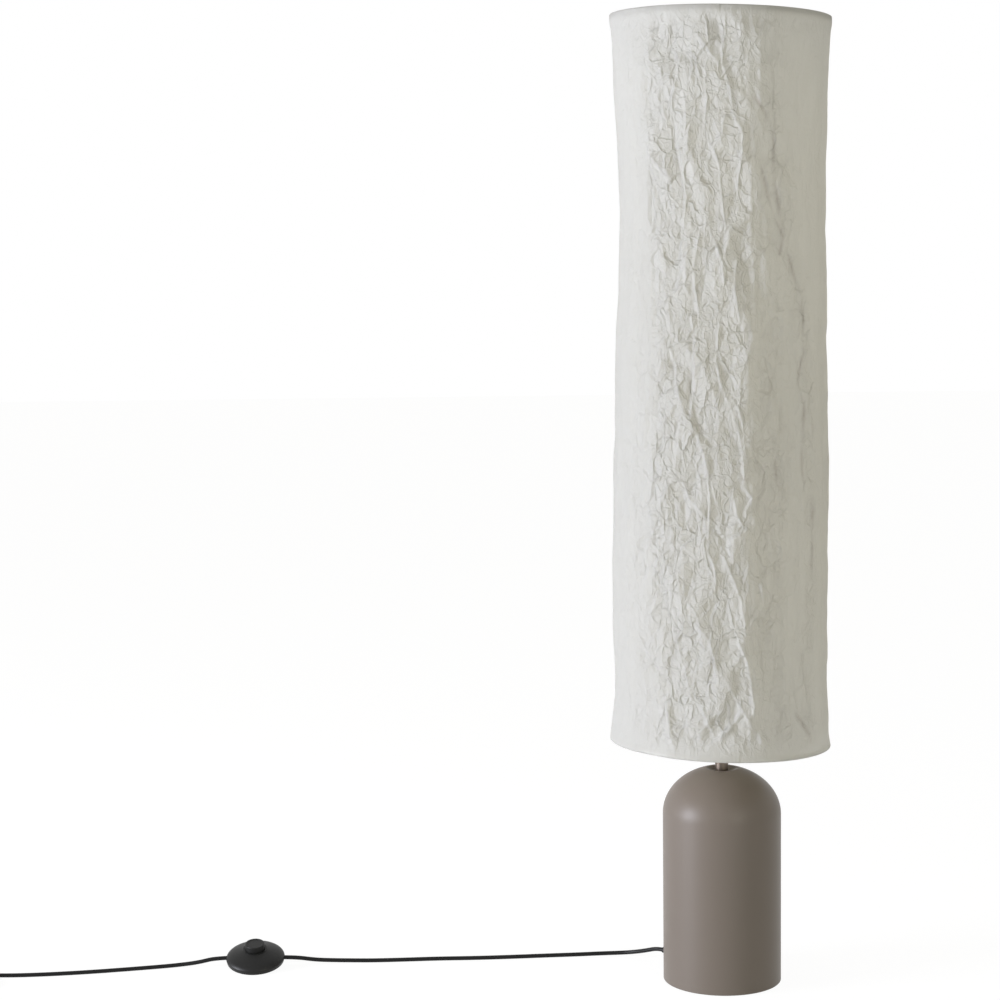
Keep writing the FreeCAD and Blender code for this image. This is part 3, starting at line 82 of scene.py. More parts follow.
class Graph:
    def __init__(self, name):
        self.material = bpy.data.materials.new(name)
        self.material.use_nodes = True
        self.tree = self.material.node_tree
        self.shader = self.tree.nodes["Principled BSDF"]
        self.output = self.tree.nodes["Material Output"]

    def add(self, kind, settings=None, *inputs, out=0, **named):
        node = self.tree.nodes.new("ShaderNode" + kind)
        for key, value in (settings or {}).items():
            setattr(node, key, value)
        for key, value in [*enumerate(inputs), *named.items()]:
            self.feed(node.inputs[key], value)
        return Socket(self, node.outputs[out])

    def feed(self, target, value):
        if isinstance(value, Socket):
            self.tree.links.new(value.link, target)
        elif value is not None:
            target.default_value = value

    def finish(self, **values):
        for key, value in values.items():
            self.feed(self.shader.inputs[key.replace("_", " ")], value)
        return self.material

    def objectPoint(self, scale=(1, 1, 1)):
        return self.add("Mapping", {}, self.add("TexCoord", out="Object"), Scale=scale)

    def noise(self, point, scale, detail=3.0, rough=0.5):
        return self.add("TexNoise", {}, Vector=point, Scale=scale, Detail=detail, Roughness=rough)

    def mixColour(self, share, low, high):
        # a colour Mix has its factor first, its colours seventh and eighth, and its result third
        node = self.tree.nodes.new("ShaderNodeMix")
        node.data_type = "RGBA"
        self.feed(node.inputs[0], share)
        for slot, colour in ((6, low), (7, high)):
            self.feed(node.inputs[slot], colour if isinstance(colour, Socket) else (*colour, 1))
        return Socket(self, node.outputs[2])

    def attribute(self, name):
        return self.add("Attribute", {"attribute_name": name}, out="Fac")

    def blendShader(self, share, other):
        mixed = self.add("MixShader", {}, share, Socket(self, self.shader.outputs[0]), other)
        self.feed(self.output.inputs[0], mixed)
        return self.material

    def bump(self, height, distance):
        return self.add("Bump", {}, Height=height, Distance=distance, Strength=1.0)


def gridFaces(rows, columns):
    # four corners of each cell of a grid whose points are numbered row by row
    i, j = np.meshgrid(np.arange(rows - 1), np.arange(columns - 1), indexing="ij")
    corner = i * columns + j
    return np.stack([corner, corner + 1, corner + columns + 1, corner + columns], -1).reshape(-1, 4)


def place(piece, replaces=()):
    # every piece made here belongs to the lamp's own body, and the switch's moving pieces stay the frame's
    bpy.context.scene.collection.objects.link(piece)
    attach(piece, "lamp")
    if replaces:
        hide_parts(*replaces)
    return piece


def makeMesh(name, points, faces, material):
    # a smooth-shaded object at the origin, with its place in its points
    mesh = bpy.data.meshes.new(name)
    mesh.from_pydata(points.reshape(-1, 3).tolist(), [], faces.tolist())
    mesh.shade_smooth()
    mesh.materials.append(material)
    return bpy.data.objects.new(name, mesh)


print("stage: materials")
paintLook = {  # scales are for each metre, and heights of the relief are in metres
    "colour": (0.160, 0.135, 0.112), "deep": (0.152, 0.128, 0.106), "cloudScale": 9.0, "peelScale": 900.0,
    "peel": 0.00003, "speckScale": 3200.0, "speckGloss": 0.06, "roughness": 0.43, "specular": 0.32,
}
metalLook = {
    "brushStretch": 0.04, "streakScale": 1800.0, "stainScale": 60.0, "stainShade": 0.86, "streakGloss": 0.12,
    "stainGloss": 0.05, "relief": 0.00002, "brushRelief": 0.00003,
}
plasticLook = {"cloudScale": 45.0, "cloudGloss": 0.10, "lighter": 1.25, "lift": 0.002}
glassLook = {
    "colour": (0.95, 0.96, 0.97, 1), "smearScale": 30.0, "roughness": 0.03, "smearGloss": 0.03, "bend": 1.45,
    "clear": 0.9,
}


def paintMaterial(name, look):
    # sprayed paint: a faint cloud in the colour, orange peel in the relief and fine specks in the gloss
    g = Graph(name)
    point = g.objectPoint()
    cloud = g.noise(point, look["cloudScale"], detail=4.0)
    peel = g.noise(point, look["peelScale"], detail=2.0)
    speck = g.noise(point, look["speckScale"], detail=1.0)
    return g.finish(
        Base_Color=g.mixColour(cloud, look["deep"], look["colour"]),
        Roughness=look["roughness"] + (speck - 0.5) * look["speckGloss"],
        Normal=g.bump(peel, look["peel"]),
        Specular_IOR_Level=look["specular"],
    )


def metalMaterial(name, colour, roughness, brush=0.0, metallic=1.0):
    # brushed metal: fine streaks along the piece and faint stains
    look = metalLook
    g = Graph(name)
    streak = g.noise(g.objectPoint((1, 1, look["brushStretch"] if brush else 1)), look["streakScale"])
    stain = g.noise(g.objectPoint(), look["stainScale"])
    dark = tuple(look["stainShade"] * c for c in colour)
    return g.finish(
        Base_Color=g.mixColour(stain, dark, colour),
        Metallic=metallic,
        Roughness=roughness + (streak - 0.5) * look["streakGloss"] + (stain - 0.5) * look["stainGloss"],
        Normal=g.bump(streak, look["relief"] + brush * look["brushRelief"]),
    )


def plasticMaterial(name, colour, roughness, grain=0.00003, scale=2500.0, specular=0.45):
    # moulded plastic: fine grain in the relief and a cloudy wear in the gloss
    look = plasticLook
    g = Graph(name)
    fine = g.noise(g.objectPoint(), scale, detail=2.0)
    cloud = g.noise(g.objectPoint(), look["cloudScale"])
    lighter = tuple(min(1, look["lighter"] * c + look["lift"]) for c in colour)
    return g.finish(
        Base_Color=g.mixColour(cloud, colour, lighter),
        Roughness=roughness + (cloud - 0.5) * look["cloudGloss"],
        Normal=g.bump(fine, grain),
        Specular_IOR_Level=specular,
    )


def glassMaterial(name, alpha, look):
    # thin clear glass, faintly smeared
    g = Graph(name)
    smear = g.noise(g.objectPoint(), look["smearScale"])
    return g.finish(
        Base_Color=look["colour"],
        Roughness=look["roughness"] + smear * look["smearGloss"],
        IOR=look["bend"],
        Transmission_Weight=look["clear"],
        Alpha=alpha,
    )


metals = {
    "stemBronze": {"colour": (0.16, 0.13, 0.105), "roughness": 0.40, "brush": 1.0, "metallic": 0.85},
    "castIron": {"colour": (0.10, 0.10, 0.105), "roughness": 0.65},
    "zincSteel": {"colour": (0.55, 0.56, 0.58), "roughness": 0.38},
    "nickelPlate": {"colour": (0.66, 0.65, 0.62), "roughness": 0.22},
    "drawnBrass": {"colour": (0.72, 0.55, 0.28), "roughness": 0.30},
    "springWire": {"colour": (0.50, 0.51, 0.53), "roughness": 0.28, "brush": 1.0},
}
plastics = {
    "frameWhiteCoat": {"colour": (0.78, 0.78, 0.76), "roughness": 0.45, "grain": 0.00005, "scale": 900.0},
    "blackFelt": {
        "colour": (0.02, 0.02, 0.02), "roughness": 0.95, "grain": 0.0004, "scale": 1400.0, "specular": 0.2},
    "switchBlack": {
        "colour": (0.006, 0.006, 0.0055), "roughness": 0.44, "grain": 0.00004, "scale": 1500.0,
        "specular": 0.24},
    "flexSheath": {
        "colour": (0.005, 0.005, 0.005), "roughness": 0.42, "grain": 0.00001, "scale": 700.0,
        "specular": 0.18},
    "coreSheath": {"colour": (0.20, 0.08, 0.03), "roughness": 0.35},
    "ceramicBody": {"colour": (0.80, 0.78, 0.73), "roughness": 0.6, "grain": 0.00008, "scale": 1200.0},
    "filamentCoat": {"colour": (0.85, 0.60, 0.12), "roughness": 0.5},
}
glasses = {"bulbClearGlass": 0.5, "bulbInnerGlass": 0.8}  # how much of each is seen
finishes = {  # the part's material slots
    "base_paint": "taupePaint", "stem_bronze": "stemBronze", "cast_iron": "castIron", "felt": "blackFelt",
    "zinc_steel": "zincSteel", "nickel": "nickelPlate", "brass": "drawnBrass", "spring_steel": "springWire",
    "frame_wire": "frameWhiteCoat", "paper": "frameWhiteCoat", "black_plastic": "switchBlack",
    "pin_sleeve": "switchBlack", "flex_sheath": "flexSheath", "core_sheath": "coreSheath",
    "ceramic": "ceramicBody", "filament": "filamentCoat", "bulb_glass": "bulbClearGlass",
    "inner_glass": "bulbInnerGlass",
}
materials = {
    "taupePaint": paintMaterial("taupePaint", paintLook),
    **{name: metalMaterial(name, **look) for name, look in metals.items()},
    **{name: plasticMaterial(name, **look) for name, look in plastics.items()},
    **{name: glassMaterial(name, alpha, glassLook) for name, alpha in glasses.items()},
}
for entry in frame["record"]["subparts"]:
    for materialSlot in nodes[entry["node"]].material_slots:
        materialSlot.material = materials[finishes[entry["material_slot"]]]


print("stage: camera, light and floor")
view = {  # metres and radians, with the lens and the sensor in mm and the photo in pixels
    "place": (-0.2666, -2.713, 0.8593), "pitch": 0.09727, "roll": -0.0117, "lens": 81.39, "sensor": 36.0,
    "farthest": 50, "photoWidth": 1000,
}
camera = bpy.data.objects.new("photoCamera", bpy.data.cameras.new("photoCamera"))
bpy.context.scene.collection.objects.link(camera)
camera.data.lens = view["lens"]
camera.data.sensor_width = view["sensor"]
camera.data.clip_end = view["farthest"]
camera.matrix_world = (
    Matrix.Translation(view["place"])
    @ Matrix.Rotation(math.pi / 2 - view["pitch"], 4, "X")
    @ Matrix.Rotation(view["roll"], 4, "Z")
)
bpy.context.scene.camera = camera
bpy.context.scene.view_settings.view_transform = "Standard"

lights = {
    "key": {"place": (-3.05, -1.0, 0.60), "aim": (0, 0, 0.50), "size": (1.2, 1.3), "power": 136,
            "colour": (0.88, 0.90, 1.0)},
    "fill": {"place": (1.5, -2.9, 0.75), "aim": (0, 0, 0.55), "size": (1.4, 1.2), "power": 20,
             "colour": (1.0, 0.975, 0.84)},
}
for name, lamp in lights.items():
    light = bpy.data.objects.new(name, bpy.data.lights.new(name, "AREA"))
    bpy.context.scene.collection.objects.link(light)
    light.data.energy = lamp["power"]
    light.data.shape = "RECTANGLE"
    light.data.size, light.data.size_y = lamp["size"]
    light.data.color = lamp["colour"]
    light.location = lamp["place"]
    light.rotation_euler = (Vector(lamp["aim"]) - Vector(lamp["place"])).to_track_quat("-Z", "Y").to_euler()

# the world lights the object softly, and the camera, glass and metal see it white
studio = {
    "skyColour": (1.0, 0.98, 0.90, 1), "skyStrength": 0.40, "seenColour": (1, 1, 1, 1), "seenStrength": 1.0,
}
world = bpy.data.worlds.new("studio")
bpy.context.scene.world = world
world.use_nodes = True
tree = world.node_tree
sky = tree.nodes["Background"]
seenWhite = tree.nodes.new("ShaderNodeBackground")
for shader, part in ((sky, "sky"), (seenWhite, "seen")):
    shader.inputs["Color"].default_value = studio[part + "Colour"]
    shader.inputs["Strength"].default_value = studio[part + "Strength"]
path = tree.nodes.new("ShaderNodeLightPath")
either, direct = (tree.nodes.new("ShaderNodeMath") for _ in range(2))
either.operation = direct.operation = "MAXIMUM"
seen = tree.nodes.new("ShaderNodeMixShader")
tree.links.new(path.outputs["Is Camera Ray"], either.inputs[0])
tree.links.new(path.outputs["Is Transmission Ray"], either.inputs[1])
tree.links.new(either.outputs[0], direct.inputs[0])
tree.links.new(path.outputs["Is Glossy Ray"], direct.inputs[1])
tree.links.new(direct.outputs[0], seen.inputs[0])
tree.links.new(sky.outputs[0], seen.inputs[1])
tree.links.new(seenWhite.outputs[0], seen.inputs[2])
tree.links.new(seen.outputs[0], tree.nodes["World Output"].inputs[0])

floorPlan = {
    "half": 14.0, "colour": (0.82, 0.82, 0.82, 1), "roughness": 0.9, "specular": 0.1, "shadowShare": 0.14,
    "glow": 1.09,
}
far = floorPlan["half"]
floorMesh = bpy.data.meshes.new("floor")
floorMesh.from_pydata([(-far, -far, 0), (far, -far, 0), (far, far, 0), (-far, far, 0)], [], [(0, 1, 2, 3)])
floor = bpy.data.objects.new("floor", floorMesh)
bpy.context.scene.collection.objects.link(floor)
g = Graph("paleFloor")
g.finish(
    Base_Color=floorPlan["colour"],
    Roughness=floorPlan["roughness"],
    Specular_IOR_Level=floorPlan["specular"],
)
glow = g.add("Emission", {}, (1, 1, 1, 1), floorPlan["glow"])
toCamera = g.add("LightPath", out="Is Camera Ray")
toGloss = g.add("LightPath", out="Is Glossy Ray")
throughGlass = g.add("LightPath", out="Is Transmission Ray")
floorWhite = (toCamera + toGloss + throughGlass).clip() * (1 - floorPlan["shadowShare"])
floorMesh.materials.append(g.blendShader(floorWhite, glow))


print("stage: flex")
flexLook = {"radius": 2.6, "order": 3, "stepsAlong": 6, "stepsAround": 4}
lampRoute = [  # mm, laid from the bush in the base to the switch, and from there to the coil
    (-68.40, 57.40, 19.2),
    (-75.76, 63.57, 19.2),
    (-88.6, 74.6, 13.4),
    (-102.8, 87.2, 7.8),
    (-119.0, 96.3, 4.2),
    (-143.0, 100.0, 2.6),
    (-175.0, 96.3, 2.6),
    (-212.0, 93.5, 2.6),
    (-256.0, 89.5, 2.6),
    (-304.0, 86.2, 2.6),
    (-352.0, 85.9, 2.6),
    (-397.0, 82.6, 2.6),
    (-434.0, 80.9, 2.6),
    (-460.0, 80.4, 3.2),
    (-484.0, 76.2, 5.0),
    (-507.0, 69.6, 8.0),
    (-531.0, 66.9, 12.5),
    (-558.4, 66.9, 12.5),
]
plugRoute = [
    (-604.4, 66.9, 12.5),
    (-631.0, 66.9, 12.5),
    (-652.0, 66.6, 7.4),
    (-673.0, 68.4, 4.1),
    (-697.0, 66.2, 2.6),
    (-738.0, 56.6, 2.6),
    (-786.0, 46.4, 2.6),
    (-838.0, 38.6, 2.6),
    (-886.0, 35.4, 2.6),
    (-918.0, 36.95, 3.3),
]
coil = {  # mm: the turns lie a pitch apart in each of two layers, and the upper one is raised by the rise
    "centre": (-944.0, -2.6), "middle": 31.0, "pitch": 5.7, "rise": 5.7, "turns": 3, "low": 3.3, "perHalf": 8,
}
tail = {  # mm, from the coil to the plug
    "back": 5.2, "aside": 3.0, "length": 40.0, "ease": 13.3, "intoPlug": 24.0, "plugMiddle": 6.8,
}
coilOuter = coil["middle"] + coil["pitch"] * coil["turns"] / 2


def coilPoints():
    # half turns, each smaller or larger than the last by half the pitch, first in the lower layer and then in
    # the upper one; the control points stand outside each arc, so that the spline itself has the arc's radius
    halves = 2 * coil["turns"]
    radii = [coilOuter - coil["pitch"] / 2 * k for k in range(halves)]
    radii = radii + [coilOuter - coil["pitch"] / 2 * halves] + radii[:0:-1] + [coilOuter]
    step = math.pi / coil["perHalf"]
    x, y = coil["centre"][0], coil["centre"][1] + coilOuter
    points = []
    side = 1
    for k, radius in enumerate(radii):
        last = k == len(radii) - 1
        count = coil["perHalf"] // 2 if last else coil["perHalf"]
        for j in range(count):
            a = step * (j + 0.5)
            climb = 0 if k < halves else (1 if k > halves else (j + 0.5) / count)
            reach = radius / math.cos(step / 2)
            points.append((
                x - side * reach * math.sin(a),
                y - side * radius + side * reach * math.cos(a),
                coil["low"] + coil["rise"] * climb,
            ))
        y -= side * 2 * radius
        side = -side
    return points


tailStart = (coil["centre"][0] - coilOuter, coil["centre"][1] - tail["back"], coil["low"] + coil["rise"])
tailEnd = (tailStart[0] - tail["aside"], tailStart[1] - tail["length"], tail["plugMiddle"])
plugRoute += coilPoints() + [
    tailStart,
    (tailStart[0], tailStart[1] - tail["ease"], tailStart[2]),
    (tailEnd[0], tailEnd[1] + tail["ease"], tailEnd[2]),
    tailEnd,
    (tailEnd[0], tailEnd[1] - tail["intoPlug"], tailEnd[2]),
]


def makeFlex(name, route, replaced):
    curve = bpy.data.curves.new(name, "CURVE")
    curve.dimensions = "3D"
    spline = curve.splines.new("NURBS")
    spline.points.add(len(route) - 1)
    for point, spot in zip(spline.points, route):
        point.co = (*[c * mm for c in spot], 1)
    spline.order_u = flexLook["order"]
    spline.use_endpoint_u = True
    spline.resolution_u = flexLook["stepsAlong"]
    curve.bevel_depth = flexLook["radius"] * mm
    curve.bevel_resolution = flexLook["stepsAround"]
    curve.use_fill_caps = True
    curve.materials.append(materials["flexSheath"])
    return place(bpy.data.objects.new(name, curve), replaced)


lampFlex = makeFlex("lampFlex", lampRoute, ["flex_lamp_side"])
plugFlex = makeFlex("plugFlex", plugRoute, ["flex_plug_side", "flex_coil", "flex_tail", "flex_end"])


print("stage: shade frame")
shade = {  # mm; the waist's shares are of the height and of its depth, and folds go by the round radius
    "bottom": 297.0, "height": 868.0, "bottomRadius": 133.2, "topRadius": 132.0, "thickness": 0.8,
    "round": 131.0, "waist": 8.7, "waistShares": [
        (0.0, 0.0), (0.012, 0.0), (0.04, 0.20), (0.10, 0.40), (0.24, 0.30), (0.40, 0.40), (0.56, 0.72),
        (0.73, 1.0), (0.85, 0.76), (0.94, 0.42), (0.975, 0.33), (0.99, 0.12), (1.0, 0.0)],
    "waistSmoothing": 6, "waistFadeLow": (4.0, 16.0), "waistFadeTop": (17.0, 5.0),
    "lean": 0.031, "drop": (0.5, -0.45), "draw": (0.006, 0.009), "drawReach": (0.05, 0.96), "skew": 0.008,
}


def smoothStep(x, low, high):
    # 0 up to low, 1 from high, and three t squared less two t cubed between them
    t = np.clip((x - low) / (high - low), 0, 1)
    return t * t * (3 - 2 * t)


def leaned(points):
    # metres: the shade hangs a little askew, its right side lower, and the glued paper draws its rings in
    share = (points[..., 2] / mm - shade["bottom"]) / shade["height"]
    lowDraw, highDraw = shade["draw"]
    lowReach, highReach = shade["drawReach"]
    rightward = points[..., 0] / (shade["round"] * mm)
    drawn = (lowDraw + shade["skew"] * rightward) * (1 - smoothStep(share, 0.0, lowReach))
    drawn = drawn + highDraw * smoothStep(share, highReach, 1.0)
    points[..., :2] *= 1 - drawn[..., None]
    low, high = shade["drop"]
    points[..., 2] += (low + (high - low) * share) * mm - points[..., 0] * shade["lean"]
    return points


for name in ("low_ring", "low_arms", "top_ring", "top_arms", "uprights"):
    words = name.split("_")
    mesh = nodes[name].data.copy()
    points = np.empty(3 * len(mesh.vertices))
    mesh.vertices.foreach_get("co", points)
    mesh.vertices.foreach_set("co", leaned(points.reshape(-1, 3)).ravel())
    leaning = bpy.data.objects.new("leaning" + "".join(w.capitalize() for w in words), mesh)
    place(leaning, [name])


print("stage: paper shade")
# folds traced as photo pixels; the three long ones, from top to bottom, part the tube's flatter faces
longFolds = {
    "left": [(644, 18), (644, 150), (647, 220), (650, 300), (655, 350), (662, 400), (660, 470), (655, 540),
             (664, 600), (668, 650), (667, 700), (665, 745)],
    "middle": [(743, 18), (744, 60), (744, 110), (747, 135), (750, 160), (751, 200), (751, 240), (752, 330),
               (748, 370), (747, 400), (749, 450), (752, 475), (750, 500), (748, 530), (746, 560), (746, 600),
               (745, 625), (744, 645), (749, 668), (752, 700), (757, 730), (761, 745)],
    "right": [(770, 18), (772, 116), (782, 166), (789, 232), (802, 306), (812, 356), (809, 406), (811, 480),
              (813, 560), (810, 650), (806, 745)],
}
crests = {
    "upper": [
        [(725, 15), (725, 33), (723, 45), (722, 62), (730, 86), (734, 114), (744, 133), (742, 160),
         (739, 185)],
        [(697, 35), (711, 55), (718, 62)],
        [(704, 76), (706, 100), (703, 120), (706, 138), (713, 150), (719, 166), (721, 190), (723, 207),
         (729, 245)],
        [(676, 68), (673, 87), (668, 100), (671, 124), (675, 145), (678, 158), (679, 172), (683, 197),
         (680, 224), (678, 249)],
        [(658, 70), (660, 87), (667, 100), (664, 112)],
        [(691, 116), (686, 133), (685, 149), (691, 158)],
        [(724, 116), (722, 133), (713, 145)],
        [(689, 50), (692, 68), (689, 79)],
        [(729, 230), (722, 268), (724, 280)],
        [(704, 224), (716, 245), (719, 255)],
        [(697, 239), (691, 270), (695, 301), (697, 324)],
        [(642, 147), (652, 165), (668, 180), (669, 197)],
        [(650, 91), (656, 104), (662, 120)],
        [(737, 262), (735, 290), (740, 318)],
    ],
    "middle": [
        [(689, 318), (694, 351), (693, 370), (691, 403), (689, 420), (697, 436), (706, 465), (712, 486),
         (716, 502)],
        [(718, 330), (716, 361), (720, 382), (729, 405), (737, 424), (743, 453), (744, 478)],
        [(668, 351), (673, 370), (673, 382), (677, 395)],
        [(738, 408), (743, 428), (745, 453)],
        [(743, 486), (753, 498), (745, 513)],
        [(745, 531), (733, 539), (728, 547), (733, 560)],
        [(706, 465), (710, 503), (708, 527), (708, 554), (714, 569), (716, 600)],
        [(668, 474), (683, 486), (689, 503), (700, 511), (710, 530)],
        [(656, 444), (668, 440), (684, 430)],
        [(733, 494), (737, 515), (743, 527)],
        [(656, 544), (658, 561), (654, 571), (667, 588)],
    ],
    "lower": [
        [(724, 559), (733, 579), (741, 600), (744, 622)],
        [(690, 620), (710, 644), (717, 670), (728, 684), (738, 703), (750, 724), (762, 740)],
        [(738, 643), (746, 660), (750, 681), (752, 698), (753, 715), (760, 738)],
        [(683, 629), (676, 641), (677, 657), (684, 674), (686, 683)],
        [(717, 662), (703, 668), (689, 676)],
        [(665, 701), (669, 732), (674, 751)],
        [(702, 712), (710, 729), (717, 746)],
        [(741, 715), (728, 731), (707, 750)],
        [(669, 731), (697, 726), (703, 715)],
        [(762, 584), (765, 605), (750, 624)],
        [(712, 559), (716, 580), (716, 600)],
    ],
}
creases = {
    "left": [
        [(657, 632), (641, 651), (657, 675), (665, 681)],
        [(664, 732), (657, 750)],
        [(645, 569), (643, 579)],
        [(655, 594), (647, 617)],
        [(640, 325), (639, 343)],
    ],
    "deep": [
        [(667, 590), (668, 613), (670, 636), (676, 657)],
        [(725, 520), (727, 543)],
        [(692, 330), (690, 365), (688, 400)],
        [(666, 360), (671, 375), (672, 392)],
    ],
}
grooves = {
    "right": [
        [(758, 97), (772, 120), (778, 149), (778, 183), (788, 228), (784, 251)],
        [(762, 158), (770, 191), (780, 218), (787, 234)],
        [(793, 253), (804, 290), (806, 324), (808, 351), (801, 382), (806, 403), (804, 444), (806, 482)],
        [(814, 494), (816, 527), (814, 565)],
        [(798, 712), (812, 741)],
        [(780, 462), (782, 486)],
    ],
}
foldShapes = {  # height in mm, and how far it falls off to the left and to the right
    "crests": {"height": 3.2, "left": 1.4, "right": 4.2},
    "creases": {"height": -2.4, "left": 4.0, "right": 2.2},
    "grooves": {"height": -2.2, "left": 4.0, "right": 1.8},
}
swell = {"least": 0.7, "more": 0.3, "alongRate": 0.11}  # how a fold's height varies along it
backFolds = {"mirror": (-1.0, 1.0), "turn": (3.3, 0.0)}  # the front's folds again behind, mirrored and turned
facets = [  # scattered points joined by flat triangles: cells around, cell height and amplitude in mm
    {"around": 40, "tall": 32.0, "height": 3.0, "seed": 3},
    {"around": 78, "tall": 16.0, "height": 0.6, "seed": 11},
]
scatter = {  # radians that a net spans, how far its points stray, and how far up or down they lie
    "from": -2.3, "to": 5.1, "jitter": 0.92, "least": 0.35, "more": 0.65,
}
salts = {"across": 0, "up": 17, "sign": 31, "size": 43}
hashing = {"first": 127.1, "second": 311.7, "seed": 74.7, "spread": 43758.5453}  # any such numbers do
section = {  # how much the faces flatten, how far the long folds stand out in mm, and angles in radians
    "faces": [("left", "middle", 0.34), ("middle", "right", 0.50)],
    "stand": {"left": -1.2, "middle": 1.8, "right": 0.8},
    "softness": 2.6, "fade": 0.25, "rise": 60.0, "leftReach": 0.3, "middleReach": 0.2,
    "dip": 3.2, "dipShape": 0.75, "dipTop": (0.48, 0.66),
}
edges = {  # height shares where the folds fade in and out, and sines where the outline's sides fade in
    "freeLow": (0.003, 0.045), "freeHigh": (0.972, 0.998), "side": (0.64, 0.98),
}
sides = {  # outline at the left and the right edge against the even tube: height share, mm
    "left": [(0.0, 1.9), (0.015, 1.2), (0.035, 0.3), (0.06, -1.5), (0.10, -0.4), (0.15, 1.3), (0.21, 1.2),
             (0.26, 0.9), (0.32, 0.2), (0.375, 0.3), (0.43, -1.3), (0.49, -0.6), (0.57, -1.6), (0.625, -4.0),
             (0.68, -4.7), (0.74, -4.4), (0.79, -3.9), (0.85, -2.3), (0.90, -0.6), (0.96, -1.1), (0.985, 0.0),
             (1.0, 0.0)],
    "right": [(0.0, 0.0), (0.016, -2.6), (0.03, -3.6), (0.06, -3.7), (0.10, -3.2), (0.26, -3.0), (0.32, -2.0),
              (0.375, -1.4), (0.43, -1.8), (0.49, -1.3), (0.57, -0.7), (0.625, 0.4), (0.68, 0.3), (0.74, 0.4),
              (0.79, -1.0), (0.85, -0.9), (0.90, -1.9), (0.945, -2.5), (0.975, -1.2), (0.993, 0.0),
              (1.0, 0.0)],
}
crumpled = {  # shares of the relief, and where they change: mm from a long fold, height shares or radians
    "lower": (0.45, 0.60), "bandLeft": (-16, 12), "bandShift": 10, "bandMiddle": (-2, 10),
    "beside": (0.40, 0.55), "besideFrom": (-2, 8), "besideTo": (36, 60),
    "wisps": (0.14, 0.05), "wispsFrom": (-1.25, -1.0), "wispsTo": (-10, 10),
    "groove": 0.75, "grooveWidth": 14, "grooveTop": (0.86, 0.97), "back": (2.3, 2.6),
    "all": 0.13, "right": 0.15, "rightFrom": (0, 20), "most": 1.1,
}
waves = {  # heights in mm, waves around, turns in radians and radians for each mm up
    "sway": 0.6, "swayAround": (5, 0.9, 0.004), "swayUp": (0.011, 1.3),
    "drift": ((2.0, 0.012, 1.0), (1.2, 0.031, 0.0)),
    "streaks": ((0.30, 38, 1.0), (0.20, 67, -1.3)), "calm": 0.6,
}
rimShading = {  # painted shade towards the rims, stronger towards the top and in a narrow band at the top edge; there the paper also lets less light through
    "upper": (0.45, 0.55), "least": 0.25, "more": 0.45, "fade": 60.0, "fold": 0.3, "foldWidth": (3.0, 8.0),
}
grooveShading = {"gain": 1.3, "least": 0.2}  # how soon a groove takes its brown painted shade


def onShade(pixels):
    # where rays through photo pixels meet an upright cylinder: angle from the front, mm above the lower rim
    turn = np.array(camera.matrix_world.to_3x3())
    origin = np.array(view["place"]) / mm
    pixels = np.array(pixels, float)
    middle = view["photoWidth"] / 2
    focal = np.full(len(pixels), view["photoWidth"] * view["lens"] / view["sensor"])
    rays = np.stack([pixels[:, 0] - middle, middle - pixels[:, 1], -focal], -1) @ turn.T
    a = (rays[:, :2] ** 2).sum(1)
    b = rays[:, :2] @ origin[:2]
    c = origin[:2] @ origin[:2] - shade["round"] ** 2
    reach = (-b - np.sqrt(b * b - a * c)) / a
    hit = origin + reach[:, None] * rays
    return np.stack([np.arctan2(hit[:, 0], -hit[:, 1]), hit[:, 2] - shade["bottom"]], -1)


def hashed(i, j, seed):
    # repeatable value from 0 to 1 for each pair of whole numbers: what is left of a much enlarged sine
    value = np.sin(i * hashing["first"] + j * hashing["second"] + seed * hashing["seed"]) * hashing["spread"]
    return value - np.floor(value)


def facetNet(net):
    # jittered points over a little more than one turn, with the same height wherever the turn repeats
    pitch = 2 * np.pi / net["around"]
    i = np.arange(int(scatter["from"] / pitch), int(scatter["to"] / pitch))
    j = np.arange(-2, int(shade["height"] / net["tall"]) + 3)
    i, j = (m.ravel() for m in np.meshgrid(i, j, indexing="ij"))
    chance = {key: hashed(np.mod(i, net["around"]), j, net["seed"] + salt) for key, salt in salts.items()}
    angle = i + 0.5 + scatter["jitter"] * (chance["across"] - 0.5) + 0.5 * (j % 2)
    height = j + 0.5 + scatter["jitter"] * (chance["up"] - 0.5)
    level = net["height"] * np.sign(chance["sign"] - 0.5)
    level = level * (scatter["least"] + scatter["more"] * chance["size"])
    flat = [Vector((float(a), float(h))) for a, h in zip(angle, height)]
    corners = delaunay_2d_cdt(flat, [], [], 0, 1e-6)[2]
    return np.stack([angle * pitch, height * net["tall"]], -1), level, np.array(corners)


def drape(net, angles, heights):
    # height of the net's flat triangles at each point of a grid, from the corners' shares of each point
    points, level, corners = net
    field = np.zeros((len(heights), len(angles)))
    for ids in corners:
        (ax, ay), (bx, by), (cx, cy) = points[ids]
        j0, j1 = np.searchsorted(angles, (min(ax, bx, cx), max(ax, bx, cx)))
        i0, i1 = np.searchsorted(heights, (min(ay, by, cy), max(ay, by, cy)))
        if i0 == i1 or j0 == j1:
            continue
        x = angles[None, j0:j1] - ax
        y = heights[i0:i1, None] - ay
        whole = (bx - ax) * (cy - ay) - (by - ay) * (cx - ax)
        second = (x * (cy - ay) - y * (cx - ax)) / whole
        third = ((bx - ax) * y - (by - ay) * x) / whole
        inside = (second > -1e-9) & (third > -1e-9) & (second + third < 1 + 1e-9)
        levelA, levelB, levelC = level[ids]
        value = levelA + second * (levelB - levelA) + third * (levelC - levelA)
        field[i0:i1, j0:j1][inside] = value[inside]
    return field


